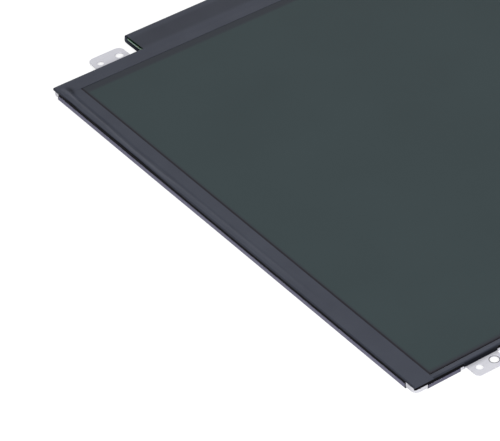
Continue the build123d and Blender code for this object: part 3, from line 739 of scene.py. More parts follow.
@dataclass(frozen=True, kw_only=True)
class CappedCeramic(Finish):
    """Fired brown ceramic chips with tinned ends, in rows of one pitch."""

    pitch: float
    row_starts: Span
    row_softness: float = 2 * MM
    half_body: float
    cap_softness: float = 0.04 * MM
    body: Colour = (0.33, 0.21, 0.12)
    body_shade: float = 0.75
    tin: Colour = (0.68, 0.68, 0.66)
    roughness: Span = (0.3, 0.5)
    specular: float = 0.45
    grain_size: float = 0.1 * MM
    grain_height: float = 0.008 * MM

    def coat(self, paint: Paint) -> None:
        """Paint the bodies and their tinned ends."""
        place = paint.coordinate(Mask.X)
        between = sum(self.row_starts) / 2
        row_start = paint.ranged(place, spread(between, self.row_softness), self.row_starts)
        swing = paint.sum_up("PINGPONG", paint.sum_up("SUBTRACT", place, row_start), self.pitch / 2)
        tinned = paint.ranged(swing, spread(self.half_body, self.cap_softness))
        grain = paint.grain(self.grain_size, 3.0)
        body = paint.mottle(grain, times(self.body, self.body_shade), self.body)
        paint.feed("Base Color", paint.blend(tinned, body, self.tin))
        paint.feed("Metallic", tinned)
        paint.roughen(grain, self.roughness)
        paint.emboss([(grain, self.grain_height)])


# Thin sheet modelling

class FoldedStrip:
    """Thin strip that is laid flat, folded on edge by edge, shaped and given its thickness."""

    SHADING_MARK = "film_painted_shading"
    SMOOTH_ANGLE = math.radians(35.0)

    def __init__(self, name: str, x_range: Span, y_range: Span, level: float, cells: tuple[int, int]) -> None:
        """Lay the first flat run of the strip.

        Args:
            name: Name of the piece.
            x_range: Limits along X, in metres.
            y_range: Limits along Y, in metres.
            level: Height of the flat run.
            cells: Number of cells along X and along Y.
        """
        bpy.ops.object.select_all(action="DESELECT")
        middle = (sum(x_range) / 2, sum(y_range) / 2, level)
        bpy.ops.mesh.primitive_grid_add(
            x_subdivisions=cells[0], y_subdivisions=cells[1], size=1.0, location=middle)
        self.piece = bpy.context.object
        self.piece.name = name
        self.piece.data.name = name
        self.piece.scale = (x_range[1] - x_range[0], y_range[1] - y_range[0], 1.0)
        bpy.ops.object.transform_apply(location=True, rotation=True, scale=True)

    def edit(self) -> bmesh.types.BMesh:
        """Open the strip in edit mode and hand over its mesh."""
        make_active(self.piece)
        bpy.ops.object.mode_set(mode="EDIT")
        bpy.ops.mesh.select_mode(type="EDGE")
        return bmesh.from_edit_mesh(self.piece.data)

    def close(self) -> None:
        """Leave edit mode."""
        bpy.ops.object.mode_set(mode="OBJECT")

    def score(self, point: Vector, normal: Vector) -> None:
        """Add a line of edges where a plane crosses the strip.

        Args:
            point: Point on the plane.
            normal: Direction across the plane.
        """
        self.edit()
        bpy.ops.mesh.select_all(action="SELECT")
        bpy.ops.mesh.bisect(plane_co=point, plane_no=normal, use_fill=False)
        self.close()

    def pick(self, test: Callable[[Vector], bool]) -> None:
        """Open the strip and select the boundary edges that lie in one place.

        Args:
            test: Tells whether a point is in that place.
        """
        mesh = self.edit()
        bpy.ops.mesh.select_all(action="DESELECT")
        for edge in mesh.edges:
            edge.select_set(edge.is_boundary and all(test(corner.co) for corner in edge.verts))
        bmesh.update_edit_mesh(self.piece.data)

    def run(self, move: Vector, steps: int) -> None:
        """Extrude the selected edges straight on."""
        for _ in range(steps):
            bpy.ops.mesh.extrude_region_move(TRANSFORM_OT_translate={"value": move / steps})

    def lengthen(self, test: Callable[[Vector], bool], move: Vector, steps: int) -> None:
        """Extrude the boundary edges that lie in one place straight on.

        Args:
            test: Tells whether a point is in that place.
            move: Whole way that they go.
            steps: Number of rows of faces on the way.
        """
        self.pick(test)
        self.run(move, steps)
        self.close()

    def turn(self, centre: Vector, axis: Vector, angle: float, steps: int) -> None:
        """Fold the selected edges round an axis."""
        bpy.ops.mesh.spin(steps=steps, angle=-angle, center=centre, axis=axis, use_auto_merge=False)

    def cut_out(self, test: Callable[[Vector], bool]) -> None:
        """Delete the faces whose middles lie in one place.

        Args:
            test: Tells whether a point is in that place.
        """
        mesh = self.edit()
        bpy.ops.mesh.select_mode(type="FACE")
        bpy.ops.mesh.select_all(action="DESELECT")
        for face in mesh.faces:
            face.select_set(test(face.calc_center_median()))
        bmesh.update_edit_mesh(self.piece.data)
        bpy.ops.mesh.delete(type="FACE")
        self.close()

    def shape(self, move: Callable[[Vector], Vector]) -> None:
        """Push each corner of the strip a little, as the sheet lies in use."""
        for corner in self.piece.data.vertices:
            corner.co += move(corner.co.copy())

    def mark_shading(self, share: Callable[[Vector], float]) -> None:
        """Store how much painted shade or painted highlight the sheet has at each corner.

        Args:
            share: Gives a share at a place: up to 1 for painted shade, below 0 for a painted highlight.
        """
        mark = self.piece.data.attributes.new(self.SHADING_MARK, "FLOAT", "POINT")
        for index, corner in enumerate(self.piece.data.vertices):
            mark.data[index].value = share(corner.co)

    def finish(self, thickness: float, material: Material, slot: str, nodes: Sequence[str]) -> Piece:
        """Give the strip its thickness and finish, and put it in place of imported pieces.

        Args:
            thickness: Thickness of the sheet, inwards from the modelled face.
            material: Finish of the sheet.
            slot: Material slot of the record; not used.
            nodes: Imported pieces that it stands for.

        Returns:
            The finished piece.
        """
        make_active(self.piece)
        wall = self.piece.modifiers.new("thickness", "SOLIDIFY")
        wall.thickness = thickness
        wall.offset = -1.0
        wall.use_even_offset = True
        bpy.ops.object.modifier_apply(modifier=wall.name)
        bpy.ops.object.shade_smooth_by_angle(angle=self.SMOOTH_ANGLE)
        self.piece.data.materials.append(material)
        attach(self.piece, "root")
        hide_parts(*nodes)
        LOG.info("built %s with %d faces", self.piece.name, len(self.piece.data.polygons))
        return self.piece


@dataclass
class RolledEdge:
    """How a film that is laid out flat rolls down over the round outer edge of the rim."""

    frame: PanelFrame
    rim_round: float = 0.36 * MM
    layout: float = 2.0 * MM
    lip: float = 0.68 * MM
    corner_lip: float = 1.15 * MM
    corner_reach: Span = (3.4 * MM, 4.9 * MM)
    short_share: float = 0.45
    short_place: Span = (12.0 * MM, 5.0 * MM)
    long_share: float = 0.2
    long_rise: Span = (10.0 * MM, 24.0 * MM)
    long_fall: Span = (42.0 * MM, 70.0 * MM)
    middle_share: float = 0.35
    middle_place: Span = (50.0 * MM, 22.0 * MM)
    loose_share: float = 0.06
    loose_size: float = 9.0 * MM
    loose_seed: float = 2.0
    board_corner: float = 4.0
    ear_span: Span = (148.3 * MM, 160.7 * MM)
    ear_slope: float = 0.3 * MM
    ear_lip: float = 2.11 * MM
    ear_flare: float = 0.55 * MM
    rows: int = 10

    @property
    def radius(self) -> float:
        """Radius of the film's outer face where it rolls."""
        return self.rim_round + self.frame.film_thickness

    @property
    def side_start(self) -> float:
        """Distance from the middle at which a film starts to roll over a side edge."""
        return self.frame.half_width - self.radius

    @property
    def top_start(self) -> float:
        """Place at which a film starts to roll over the top edge."""
        return self.frame.top_edge - self.radius

    @property
    def board_start(self) -> float:
        """Place at which a film starts to roll over the board edge."""
        return self.frame.board_edge + self.radius

    def over_ear(self, place: Vector) -> float:
        """Share from 0 to 1 that tells whether a place on the flat layout is on the lip over a top ear."""
        if place.y < self.top_start:
            return 0.0
        rise = ease(abs(place.x), self.ear_span[0] - self.ear_slope, self.ear_span[0])
        return rise * (1.0 - ease(abs(place.x), self.ear_span[1], self.ear_span[1] + self.ear_slope))

    def lip_length(self, place: Vector) -> float:
        """Length of film past the flat face, which is long at the board corners and uneven elsewhere.

        Args:
            place: Place on the flat layout.

        Returns:
            The length of the lip.
        """
        along = max(0.0, place.y - self.frame.board_edge)
        across = max(0.0, self.frame.half_width - abs(place.x))
        wrap = 1.0 - ease(math.hypot(along, across), *self.corner_reach)
        pulled_in = self.short_share * hump(along, *self.short_place)
        pulled_in += self.long_share * ease(along, *self.long_rise) * (1.0 - ease(along, *self.long_fall))
        pulled_in += self.middle_share * hump(along, *self.middle_place)
        loose = self.loose_share * drift(place.x, place.y, self.loose_size, self.loose_seed)
        plain = self.lip * (1.0 - pulled_in + loose)
        plain += self.over_ear(place) * (self.ear_lip - plain)
        return plain + wrap * (self.corner_lip - plain)

    def drape(self, place: Vector) -> Vector:
        """Push that takes a place on the flat layout to the rolled film.

        Args:
            place: Place on the flat layout.

        Returns:
            The push at that place.
        """
        past_side = max(0.0, abs(place.x) - self.side_start)
        past_top = max(0.0, place.y - self.top_start)
        past_board = max(0.0, self.board_start - place.y)
        past = math.hypot(past_side, past_top)
        if past_board > 0.0:
            past = (past_side ** self.board_corner + past_board ** self.board_corner) ** (1 / self.board_corner)
        if past == 0.0:
            return Vector((0.0, 0.0, 0.0))
        share = max(past_side, past_top, past_board) / self.layout
        length = share * self.lip_length(place)
        quarter = self.radius * math.pi / 2
        angle = min(length, quarter) / self.radius
        hang = max(0.0, length - quarter)
        out = self.radius * math.sin(angle) + self.ear_flare * self.over_ear(place) * (hang / self.ear_lip) ** 2
        drop = self.radius * (1.0 - math.cos(angle)) + hang
        side = math.copysign(1.0, place.x)
        move_x = side * (out / past - 1.0) * past_side
        move_y = (out / past - 1.0) * (past_top - past_board)
        return Vector((move_x, move_y, -drop))


@dataclass(frozen=True)
class SagStation:
    """Shape of the sag and of the crest beside it at one place along a side, in millimetres."""

    along: float
    ridge: float
    floor: float
    share: float
    rise: float = 0.0


@dataclass
class SideTrench:
    """Shallow sag of the films into the gap between the rim and the polariser, with a crest beside it."""

    frame: PanelFrame
    depth: float = 0.28 * MM
    fall_width: float = 1.05 * MM
    rise_width: float = 1.0 * MM
    crest_shift: float = 0.3 * MM
    crest_reach: float = 0.65 * MM
    stations: tuple[SagStation, ...] = (
        SagStation(1.8, 1.9, 1.4, 0.0),
        SagStation(4.0, 2.0, 1.4, 0.95, 0.12),
        SagStation(6.8, 2.2, 1.35, 1.05, 0.15),
        SagStation(9.8, 2.1, 1.0, 1.0, 0.14),
        SagStation(13.8, 1.85, 1.05, 0.95, 0.07),
        SagStation(29.8, 1.75, 1.1, 0.95, 0.07),
        SagStation(39.8, 1.25, 1.35, 0.66, 0.11),
        SagStation(49.8, 0.95, 1.4, 0.6, 0.11),
        SagStation(64.8, 0.97, 1.5, 0.55, 0.11),
        SagStation(79.8, 1.6, 0.85, 0.6, 0.05),
        SagStation(119.8, 1.85, 0.75, 0.6, 0.06),
        SagStation(139.8, 2.0, 0.8, 0.35, 0.03),
        SagStation(157.8, 2.0, 0.8, 0.0),
    )

    def read(self, place: Vector) -> tuple[float, float]:
        """Share of the sag and height of the crest beside it at a place on a film.

        Args:
            place: Place on the film.

        Returns:
            The share, from 0 to about 1, and the height in metres.
        """
        across = self.frame.half_width - abs(place.x)
        along = (place.y - self.frame.board_edge) / MM
        if not self.stations[0].along < along < self.stations[-1].along:
            return 0.0, 0.0
        later = next(index for index, station in enumerate(self.stations) if station.along >= along)
        start, stop = self.stations[later - 1], self.stations[later]
        step = ease(along, start.along, stop.along)
        ridge = (start.ridge + step * (stop.ridge - start.ridge)) * MM
        rise_start = ridge + (start.floor + step * (stop.floor - start.floor)) * MM
        share = start.share + step * (stop.share - start.share)
        fall = ease(across, ridge, ridge + self.fall_width)
        rise = 1.0 - ease(across, rise_start, rise_start + self.rise_width)
        crest = ridge + self.crest_shift
        bump = (start.rise + step * (stop.rise - start.rise)) * MM * hump(across, crest, self.crest_reach)
        return share * fall * rise, bump

    def sag(self, place: Vector) -> float:
        """Height of the film over its flat run, in metres."""
        share, bump = self.read(place)
        return bump - self.depth * share


@dataclass
class CornerCrumple:
    """Small wrinkles where the board film wraps a corner."""

    frame: PanelFrame
    height: float = 0.06 * MM
    reach: float = 7.0 * MM
    size: float = 1.6 * MM
    seed: float = 3.0

    def lift(self, place: Vector) -> float:
        """Height that the wrinkles add at a place on the face.

        Args:
            place: Place on the film or tape.

        Returns:
            The height, in metres.
        """
        across = self.frame.half_width - abs(place.x)
        along = place.y - self.frame.board_edge
        fade = hump(math.hypot(across, along), 0.0, self.reach)
        return self.height * fade * drift(place.x, place.y, self.size, self.seed)


@dataclass
class FilmLightAndShade:
    """Painted light and shade of the films: highlight on crests, shade in sags, on rolled edges and by each
    corner.
    """

    frame: PanelFrame
    trench: SideTrench
    edge: RolledEdge
    side_roll: float = 0.33
    side_roll_width: float = 1.0 * MM
    top_roll: float = 0.5
    top_roll_span: Span = (-0.4 * MM, 0.6 * MM)
    sag_shade: float = 0.3
    crest_highlight: float = 0.75
    crest_height: float = 0.1 * MM
    top_highlight: float = 0.4
    top_fade: Span = (166 * MM, 173 * MM)
    patch_across: Span = (4.1 * MM, 0.8 * MM)
    patch_along: Span = (5.4 * MM, 2.0 * MM)
    patch_shade: float = 0.85

    def share(self, place: Vector) -> float:
        """How much painted shade the film has at a place.

        Args:
            place: Place on the film or tape.

        Returns:
            A share from 0 to 1, below 0 for a painted highlight.
        """
        # The patch by each corner is painted shade of the dip there; the rest is painted shade and highlight of
        # the sag, crest and roll
        across = hump(self.frame.half_width - abs(place.x), *self.patch_across)
        patch = self.patch_shade * across * hump(place.y - self.frame.board_edge, *self.patch_along)
        sag, crest = self.trench.read(place)
        film = self.sag_shade * sag - self.crest_highlight * crest / self.crest_height
        flat = patch + (1.0 - patch) * film
        start = self.edge.side_start
        roll = self.side_roll * ease(abs(place.x), start, start + self.side_roll_width)
        return flat + (1.0 - flat) * roll

    def top_share(self, place: Vector) -> float:
        """Painted shade on the top tape: a highlight away from the corners, shade where it rolls over the rim.

        Args:
            place: Place on the tape.

        Returns:
            A share from 0 to 1, below 0 for a painted highlight.
        """
        flat = -self.top_highlight * (1.0 - ease(abs(place.x), *self.top_fade))
        start = self.edge.top_start
        roll = self.top_roll * ease(place.y, *(start + step for step in self.top_roll_span))
        return flat + (1.0 - flat) * roll


@dataclass
class FaceFilm:
    """Film on the face of the panel, with what shapes and shades it."""

    frame: PanelFrame
    edge: RolledEdge
    trench: SideTrench
    crumple: CornerCrumple
    light_and_shade: FilmLightAndShade

    def draped(self, place: Vector, lift: float) -> Vector:
        """Push that rolls a place over the rim and lifts it a little."""
        return self.edge.drape(place) + Vector((0.0, 0.0, lift))


@dataclass
class BoardCover(FaceFilm):
    """Film over the control board: a band on the face, a flap over the board and a fold back under the pan."""

    cells: tuple[int, int] = (480, 14)
    end_flare: float = 0.45 * MM
    end_flare_reach: float = 8 * MM
    # Painted shade on the flap where it bends down over the board
    flap_tone: float = 0.28
    flap_tone_start: Span = (-1.0 * MM, 1.5 * MM)
    flap_tone_stop: Span = (7.4 * MM, 9.4 * MM)
    flap_tone_fade: float = 4 * MM
    flap_tone_least: float = 1e-5
    flap_fall: float = 0.2 * MM
    slit: float = 0.4 * MM
    underlap: float = 3.5 * MM
    wave_height: float = 0.045 * MM
    wave_size: float = 26.0 * MM
    wave_seed: float = 1.0
    calm_span: Span = (9 * MM, 4 * MM)
    ledge_sag: float = 0.07 * MM
    ledge_place: Span = (3.2 * MM, 1.5 * MM)
    window_x: Span = (-130.45 * MM, -106.35 * MM)
    window_back: float = -105.15 * MM
    window_top: float = 1.3 * MM
    fold_steps: int = 18
    run_steps: int = 14

    def on_flap(self, place: Vector) -> bool:
        """Whether a place on the film lies on the flap or under the board."""
        return abs(place.x) < self.frame.flap_half + self.slit / 2 and place.y < self.edge.board_start

    def lie(self, place: Vector) -> Vector:
        """Push that lets the film lie as a real one does.

        Args:
            place: Place on the film.

        Returns:
            The push at that place.
        """
        frame = self.frame
        if place.z < frame.front - 2 * self.flap_fall:
            return self.flare(place)
        wave = self.wave_height * drift(place.x, place.y, self.wave_size, self.wave_seed)
        if self.on_flap(place):
            wave *= ease(place.y, *(frame.board_edge - step for step in self.calm_span))
            return Vector((0.0, 0.0, wave))
        ledge = hump(place.y - frame.board_edge, *self.ledge_place)
        lift = wave - self.ledge_sag * ledge + self.trench.sag(place) + self.crumple.lift(place)
        return self.draped(place, lift)

    def tone(self, place: Vector) -> float:
        """How much painted shade the film has at a place: on the flap over the board, and the films' painted light
        and shade elsewhere.

        Args:
            place: Place on the film.

        Returns:
            A share from 0 to 1, below 0 for a painted highlight.
        """
        out = self.frame.board_edge - place.y
        over_board = ease(out, *self.flap_tone_start) * (1.0 - ease(out, *self.flap_tone_stop))
        on_flap = 1.0 - ease(abs(place.x), self.frame.flap_half, self.frame.flap_half + self.flap_tone_fade)
        flap = self.flap_tone * over_board * on_flap
        return flap if flap > self.flap_tone_least else self.light_and_shade.share(place)

    def flare(self, place: Vector) -> Vector:
        """Push that lets the lower half of the fold stand out past the ends of the upper half.

        Args:
            place: Place on the fold or under the board.

        Returns:
            The push at that place.
        """
        frame = self.frame
        low = 1.0 - ease(place.z, frame.film_bottom, (frame.film_bottom + frame.front) / 2)
        end = ease(abs(place.x), frame.flap_half - self.end_flare_reach, frame.flap_half)
        return Vector((math.copysign(self.end_flare * low * end, place.x), 0.0, 0.0))

    def in_window(self, place: Vector) -> bool:
        """Whether a place on the film lies in the opening for the signal socket."""
        beside = self.window_x[0] < place.x < self.window_x[1]
        return beside and place.y < self.window_back and place.z < self.window_top

    def build(self, material: Material) -> Piece:
        """Model the film.

        Args:
            material: Finish of the film.

        Returns:
            The finished film.
        """
        frame = self.frame
        start = self.edge.board_start
        half = self.edge.side_start
        strip = FoldedStrip("board_cover_sheet", (-half, half), (start, frame.film_end), frame.front, self.cells)
        slit_end = frame.flap_half + self.slit
        for line in (-slit_end, -frame.flap_half, frame.flap_half, slit_end, *self.window_x):
            strip.score(Vector((line, 0.0, 0.0)), Vector((1.0, 0.0, 0.0)))
        for side in Side:
            strip.lengthen(lambda place: side.value * place.x > half - TINY,
                           Vector((side.value * self.edge.layout, 0.0, 0.0)), self.edge.rows)
        strip.lengthen(lambda place: place.y < start + TINY and abs(place.x) > slit_end - TINY,
                       Vector((0.0, -self.edge.layout, 0.0)), self.edge.rows)
        strip.pick(lambda place: abs(place.y - start) < TINY and abs(place.x) < frame.flap_half + TINY)
        top = frame.front - self.flap_fall
        radius = (top - frame.film_bottom) / 2
        fold = frame.film_fold + radius
        strip.run(Vector((0.0, fold - start, -self.flap_fall)), self.run_steps)
        strip.turn(Vector((0.0, fold, top - radius)), Vector((1.0, 0.0, 0.0)), math.pi, self.fold_steps)
        strip.run(Vector((0.0, frame.board_edge + self.underlap - fold, 0.0)), self.run_steps)
        strip.close()
        strip.score(Vector((0.0, self.window_back, 0.0)), Vector((0.0, 1.0, 0.0)))
        strip.score(Vector((0.0, 0.0, self.window_top)), Vector((0.0, 0.0, 1.0)))
        strip.cut_out(self.in_window)
        strip.mark_shading(self.tone)
        strip.shape(self.lie)
        return strip.finish(frame.film_thickness, material, "shading_film", ["board_cover_film"])


@dataclass
class BorderTapes(FaceFilm):
    """Shading tapes along the sides and the top of the face, draped from the rim to the edge of the polariser."""

    wave_height: float = 0.02 * MM
    wave_size: float = 17.0 * MM
    side_seed: float = 5.0
    top_seed: float = 9.0
    top_fall: float = 0.12 * MM
    top_fall_span: Span = (1.1 * MM, 2.0 * MM)
    ear_fade: float = 1.0 * MM
    joint_gap: float = 0.01 * MM
    side_cells: tuple[int, int] = (48, 280)
    top_cells: tuple[int, int] = (420, 10)

    def side_lie(self, place: Vector) -> Vector:
        """Push that drapes a side tape.

        Args:
            place: Place on the tape.

        Returns:
            The push at that place.
        """
        wave = self.wave_height * drift(place.x, place.y, self.wave_size, self.side_seed)
        lift = wave + self.trench.sag(place) + self.crumple.lift(place)
        return self.draped(place, lift)

    def top_lie(self, place: Vector) -> Vector:
        """Push that lets the top tape fall from the rim to the glass.

        Args:
            place: Place on the tape.

        Returns:
            The push at that place.
        """
        across = self.frame.top_edge - place.y
        wave = self.wave_height * drift(place.x, place.y, self.wave_size, self.top_seed)
        lift = wave - self.top_fall * ease(across, *self.top_fall_span)
        return self.draped(place, lift)

    def build_side(self, side: Side, material: Material) -> Piece:
        """Model one side tape.

        Args:
            side: Side of the panel.
            material: Finish of the tape.

        Returns:
            The finished tape.
        """
        name = side.name.lower()
        low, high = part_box(f"{name}_border_tape")
        edge = self.edge
        inner = low.x if side is Side.RIGHT else high.x
        outer = side.value * edge.side_start
        y_range = (low.y + self.joint_gap, edge.top_start)
        x_range = (min(inner, outer), max(inner, outer))
        strip = FoldedStrip(f"{name}_border_sheet", x_range, y_range, self.frame.front, self.side_cells)
        strip.lengthen(lambda place: abs(place.x) > edge.side_start - TINY,
                       Vector((side.value * edge.layout, 0.0, 0.0)), edge.rows)
        strip.lengthen(lambda place: place.y > edge.top_start - TINY, Vector((0.0, edge.layout, 0.0)), edge.rows)
        strip.mark_shading(self.light_and_shade.share)
        strip.shape(self.side_lie)
        return strip.finish(self.frame.film_thickness, material, "shading_film", [f"{name}_border_tape"])

    def top_share(self, place: Vector) -> float:
        """Painted shade on the top tape, with the lips that hang over the ears fully in painted shade.

        Args:
            place: Place on the tape.

        Returns:
            A share from 0 to 1, below 0 for a painted highlight.
        """
        start = self.edge.top_start
        lip = self.edge.over_ear(place) * ease(place.y, start, start + self.ear_fade)
        return lip + (1.0 - lip) * self.light_and_shade.top_share(place)

    def build_top(self, material: Material) -> Piece:
        """Model the top tape.

        Args:
            material: Finish of the tape.

        Returns:
            The finished tape.
        """
        low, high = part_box("top_border_tape")
        edge = self.edge
        x_range = (low.x + self.joint_gap, high.x - self.joint_gap)
        strip = FoldedStrip("top_border_sheet", x_range, (low.y, edge.top_start), self.frame.front, self.top_cells)
        for line in (edge.ear_span[0] - edge.ear_slope, *edge.ear_span, edge.ear_span[1] + edge.ear_slope):
            for side in Side:
                strip.score(Vector((side.value * line, 0.0, 0.0)), Vector((1.0, 0.0, 0.0)))
        strip.lengthen(lambda place: place.y > edge.top_start - TINY, Vector((0.0, edge.layout, 0.0)), edge.rows)
        strip.mark_shading(self.top_share)
        strip.shape(self.top_lie)
        return strip.finish(self.frame.film_thickness, material, "shading_film", ["top_border_tape"])


@dataclass
class WallTapes:
    """Tapes up the pan's walls, folded loosely round the bottom bend and under the pan."""

    frame: PanelFrame
    side_bend: float = 0.16 * MM
    top_bend: float = 0.3 * MM
    side_fold_drop: float = 0.07 * MM
    side_fold_span: Span = (1.5 * MM, 3.4 * MM)
    side_fold_height: float = 0.5 * MM
    side_bulge: Span = (0.24 * MM, 0.14 * MM)
    bulge_turn: Span = (-40 * MM, 10 * MM)
    bulge_width: float = 2 * MM
    bulge_height: Span = (0.3 * MM, 1.2 * MM)
    rim_lap: float = 0.08 * MM
    edge_swing: float = 0.05 * MM
    edge_swing_size: float = 8.0 * MM
    edge_swing_seed: float = 11.0
    edge_swing_middle: float = 0.5
    edge_height: float = 0.5 * MM
    cut_reach: float = 0.45 * MM
    cut_core: float = 0.3
    fold_cells: int = 6
    side_cells: int = 320
    top_cell: float = 0.7 * MM
    top_cells_least: int = 30
    bend_steps: int = 8
    wall_steps: int = 8

    def end_share(self, place: float, ends: Span) -> float:
        """How much darker a tape is painted towards its cut ends, partly its dark cut edge and partly painted
        shade.
        """
        reach = min(place - ends[0], ends[1] - place)
        return 1.0 - ease(reach, self.cut_core * self.cut_reach, self.cut_reach)

    def fold_up(self, strip: FoldedStrip, centre: Vector, axis: Vector, top: float) -> None:
        """Fold the selected edges of a tape round the bend and up the wall.

        Args:
            strip: Tape that lies under the pan.
            centre: Point on the axis of the bend.
            axis: Direction of that axis.
            top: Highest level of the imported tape.
        """
        strip.turn(centre, axis, math.pi / 2, self.bend_steps)
        strip.run(Vector((0.0, 0.0, top + self.rim_lap - centre.z)), self.wall_steps)
        bpy.ops.mesh.select_all(action="SELECT")
        bpy.ops.mesh.flip_normals()
        strip.close()

    def build_side(self, side: Side, material: Material) -> Piece:
        """Model the tape on one side wall.

        Args:
            side: Side of the panel.
            material: Finish of the tape.

        Returns:
            The finished tape.
        """
        name = f"{side.name.lower()}_wall_tape"
        low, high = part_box(name)
        sign = side.value
        outer = high.x if sign > 0 else low.x
        inner = low.x if sign > 0 else high.x
        turn_start = outer - sign * self.side_bend
        x_range = (min(inner, turn_start), max(inner, turn_start))
        cells = (self.fold_cells, self.side_cells)
        strip = FoldedStrip(f"{side.name.lower()}_wall_strip", x_range, (low.y, high.y), low.z, cells)
        strip.pick(lambda place: abs(place.x - turn_start) < TINY)
        centre = Vector((turn_start, 0.0, low.z + self.side_bend))
        self.fold_up(strip, centre, Vector((0.0, -sign, 0.0)), high.z)
        strip.shape(lambda place: self.hang(place, abs(place.x - inner), low.z))
        strip.shape(lambda place: self.bulge(place, sign))
        strip.shape(lambda place: self.wander(place, place.y, high.z))
        strip.mark_shading(lambda place: self.end_share(place.y, (low.y, high.y)))
        return strip.finish(self.frame.film_thickness, material, "wall_tape", [name])

    def build_top(self, node: str, material: Material) -> Piece:
        """Model one tape on the top wall.

        Args:
            node: Packed tape that it stands for.
            material: Finish of the tape.

        Returns:
            The finished tape.
        """
        low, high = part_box(node)
        turn_start = high.y - self.top_bend
        count = max(self.top_cells_least, round((high.x - low.x) / self.top_cell))
        name = node.replace("tape", "strip")
        strip = FoldedStrip(name, (low.x, high.x), (low.y, turn_start), low.z, (count, self.fold_cells))
        strip.pick(lambda place: abs(place.y - turn_start) < TINY)
        self.fold_up(strip, Vector((0.0, turn_start, low.z + self.top_bend)), Vector((1.0, 0.0, 0.0)), high.z)
        strip.shape(lambda place: self.wander(place, place.x, high.z))
        strip.mark_shading(lambda place: self.end_share(place.x, (low.x, high.x)))
        return strip.finish(self.frame.film_thickness, material, "wall_tape", [node])

    def hang(self, place: Vector, out: float, low: float) -> Vector:
        """Small push that lets the fold of a side tape hang a little."""
        share = ease(out, *self.side_fold_span) * (1.0 - ease(place.z, low, low + self.side_fold_height))
        return Vector((0.0, 0.0, -self.side_fold_drop * share))

    def bulge(self, place: Vector, sign: int) -> Vector:
        """Small push that lets the fold of a side tape stand out loosely, most towards the board.

        Args:
            place: Place on the tape.
            sign: Sign of X on that side.

        Returns:
            The push at that place.
        """
        near_fold = ease(abs(place.x), self.frame.half_width - self.bulge_width, self.frame.half_width)
        low = 1.0 - ease(place.z, *self.bulge_height)
        board_reach, top_reach = self.side_bulge
        reach = board_reach + ease(place.y, *self.bulge_turn) * (top_reach - board_reach)
        return Vector((sign * reach * near_fold * low, 0.0, 0.0))

    def wander(self, place: Vector, along: float, high: float) -> Vector:
        """Small push that leaves the upper edge of a tape uneven.

        Args:
            place: Place on the tape.
            along: Distance along the tape.
            high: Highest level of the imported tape.

        Returns:
            The push at that place.
        """
        upper = ease(place.z, high - self.edge_height, high)
        swing = drift(along, 0.0, self.edge_swing_size, self.edge_swing_seed) - self.edge_swing_middle
        return Vector((0.0, 0.0, self.edge_swing * upper * swing))


# Sub-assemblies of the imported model

@dataclass
class Assembly(ABC):
    """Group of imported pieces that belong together."""

    nodes: dict[str, Piece]

    @abstractmethod
    def finishes(self) -> dict[Finish, Sequence[str]]:
        """Finishes of the group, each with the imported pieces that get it."""

    def dress(self) -> None:
        """Give each piece of the group its finish."""
        for finish, names in self.finishes().items():
            material = finish.make()
            for name in names:
                piece = self.nodes[name]
                if not piece.material_slots:
                    piece.data.materials.append(material)
                for place in piece.material_slots:
                    place.material = material
                LOG.info("dressed %s with %s", name, material.name)


@dataclass
class Housing(Assembly):
    """Metal pan and moulded frame."""

    ring_place: Span = (151.65 * MM, 108.6 * MM)

    def finishes(self) -> dict[Finish, Sequence[str]]:
        """Finishes of the pan and of the frame."""
        metal = RolledMetal(name="pan_aluminium", light=(0.81, 0.81, 0.87), dark=(0.73, 0.73, 0.79),
                            roughness=(0.55, 0.7), metallic=0.12, rings=(self.ring_place,))
        plastic = MouldedPlastic(name="frame_black", light=(0.0045, 0.0045, 0.006), dark=(0.0025, 0.0025, 0.0035),
                                 roughness=(0.5, 0.65), specular=0.03)
        return {metal: ["rear_chassis"], plastic: ["mould_frame"]}


@dataclass
class LightStack(Assembly):
    """Lamps, light guide and the sheets over it."""

    prism_tint: Colour = (0.84, 0.86, 0.88)
    prism_pitch: float = 0.06 * MM
    prism_length: float = 400.0
    window_depth: Span = (0.17 * MM, 0.02 * MM)

    def prism(self, name: str, stretch: Triple) -> ClearSheet:
        """Finish of a film with long ridges."""
        return ClearSheet(name=name, tint=self.prism_tint, relief_size=self.prism_pitch, relief_stretch=stretch)

    def finishes(self) -> dict[Finish, Sequence[str]]:
        """Finishes of the layers and of the lamps."""
        diffuser = WhiteSheet(name="diffuser_white", light=(0.82, 0.83, 0.83), dark=(0.76, 0.77, 0.775))
        guide = ClearSheet(name="guide_acrylic", tint=(0.86, 0.89, 0.88), relief_size=0.6 * MM)
        lamp_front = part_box("led_packages")[1].y
        window = (lamp_front - self.window_depth[0], lamp_front - self.window_depth[1])
        return {
            WhiteSheet(name="reflector_white"): ["reflector_sheet"],
            diffuser: ["lower_diffuser_sheet", "upper_diffuser_sheet"],
            guide: ["light_guide_plate"],
            self.prism("prism_film", (1.0, self.prism_length, 1.0)): ["lower_prism_sheet"],
            self.prism("crossed_prism_film", (self.prism_length, 1.0, 1.0)): ["upper_prism_sheet"],
            AmberFlex(name="lamp_flex", across=Mask.Y, line_pitch=0.8 * MM): ["led_flex_board"],
            LampBody(name="lamp_white", window_y=window): ["led_packages"],
        }


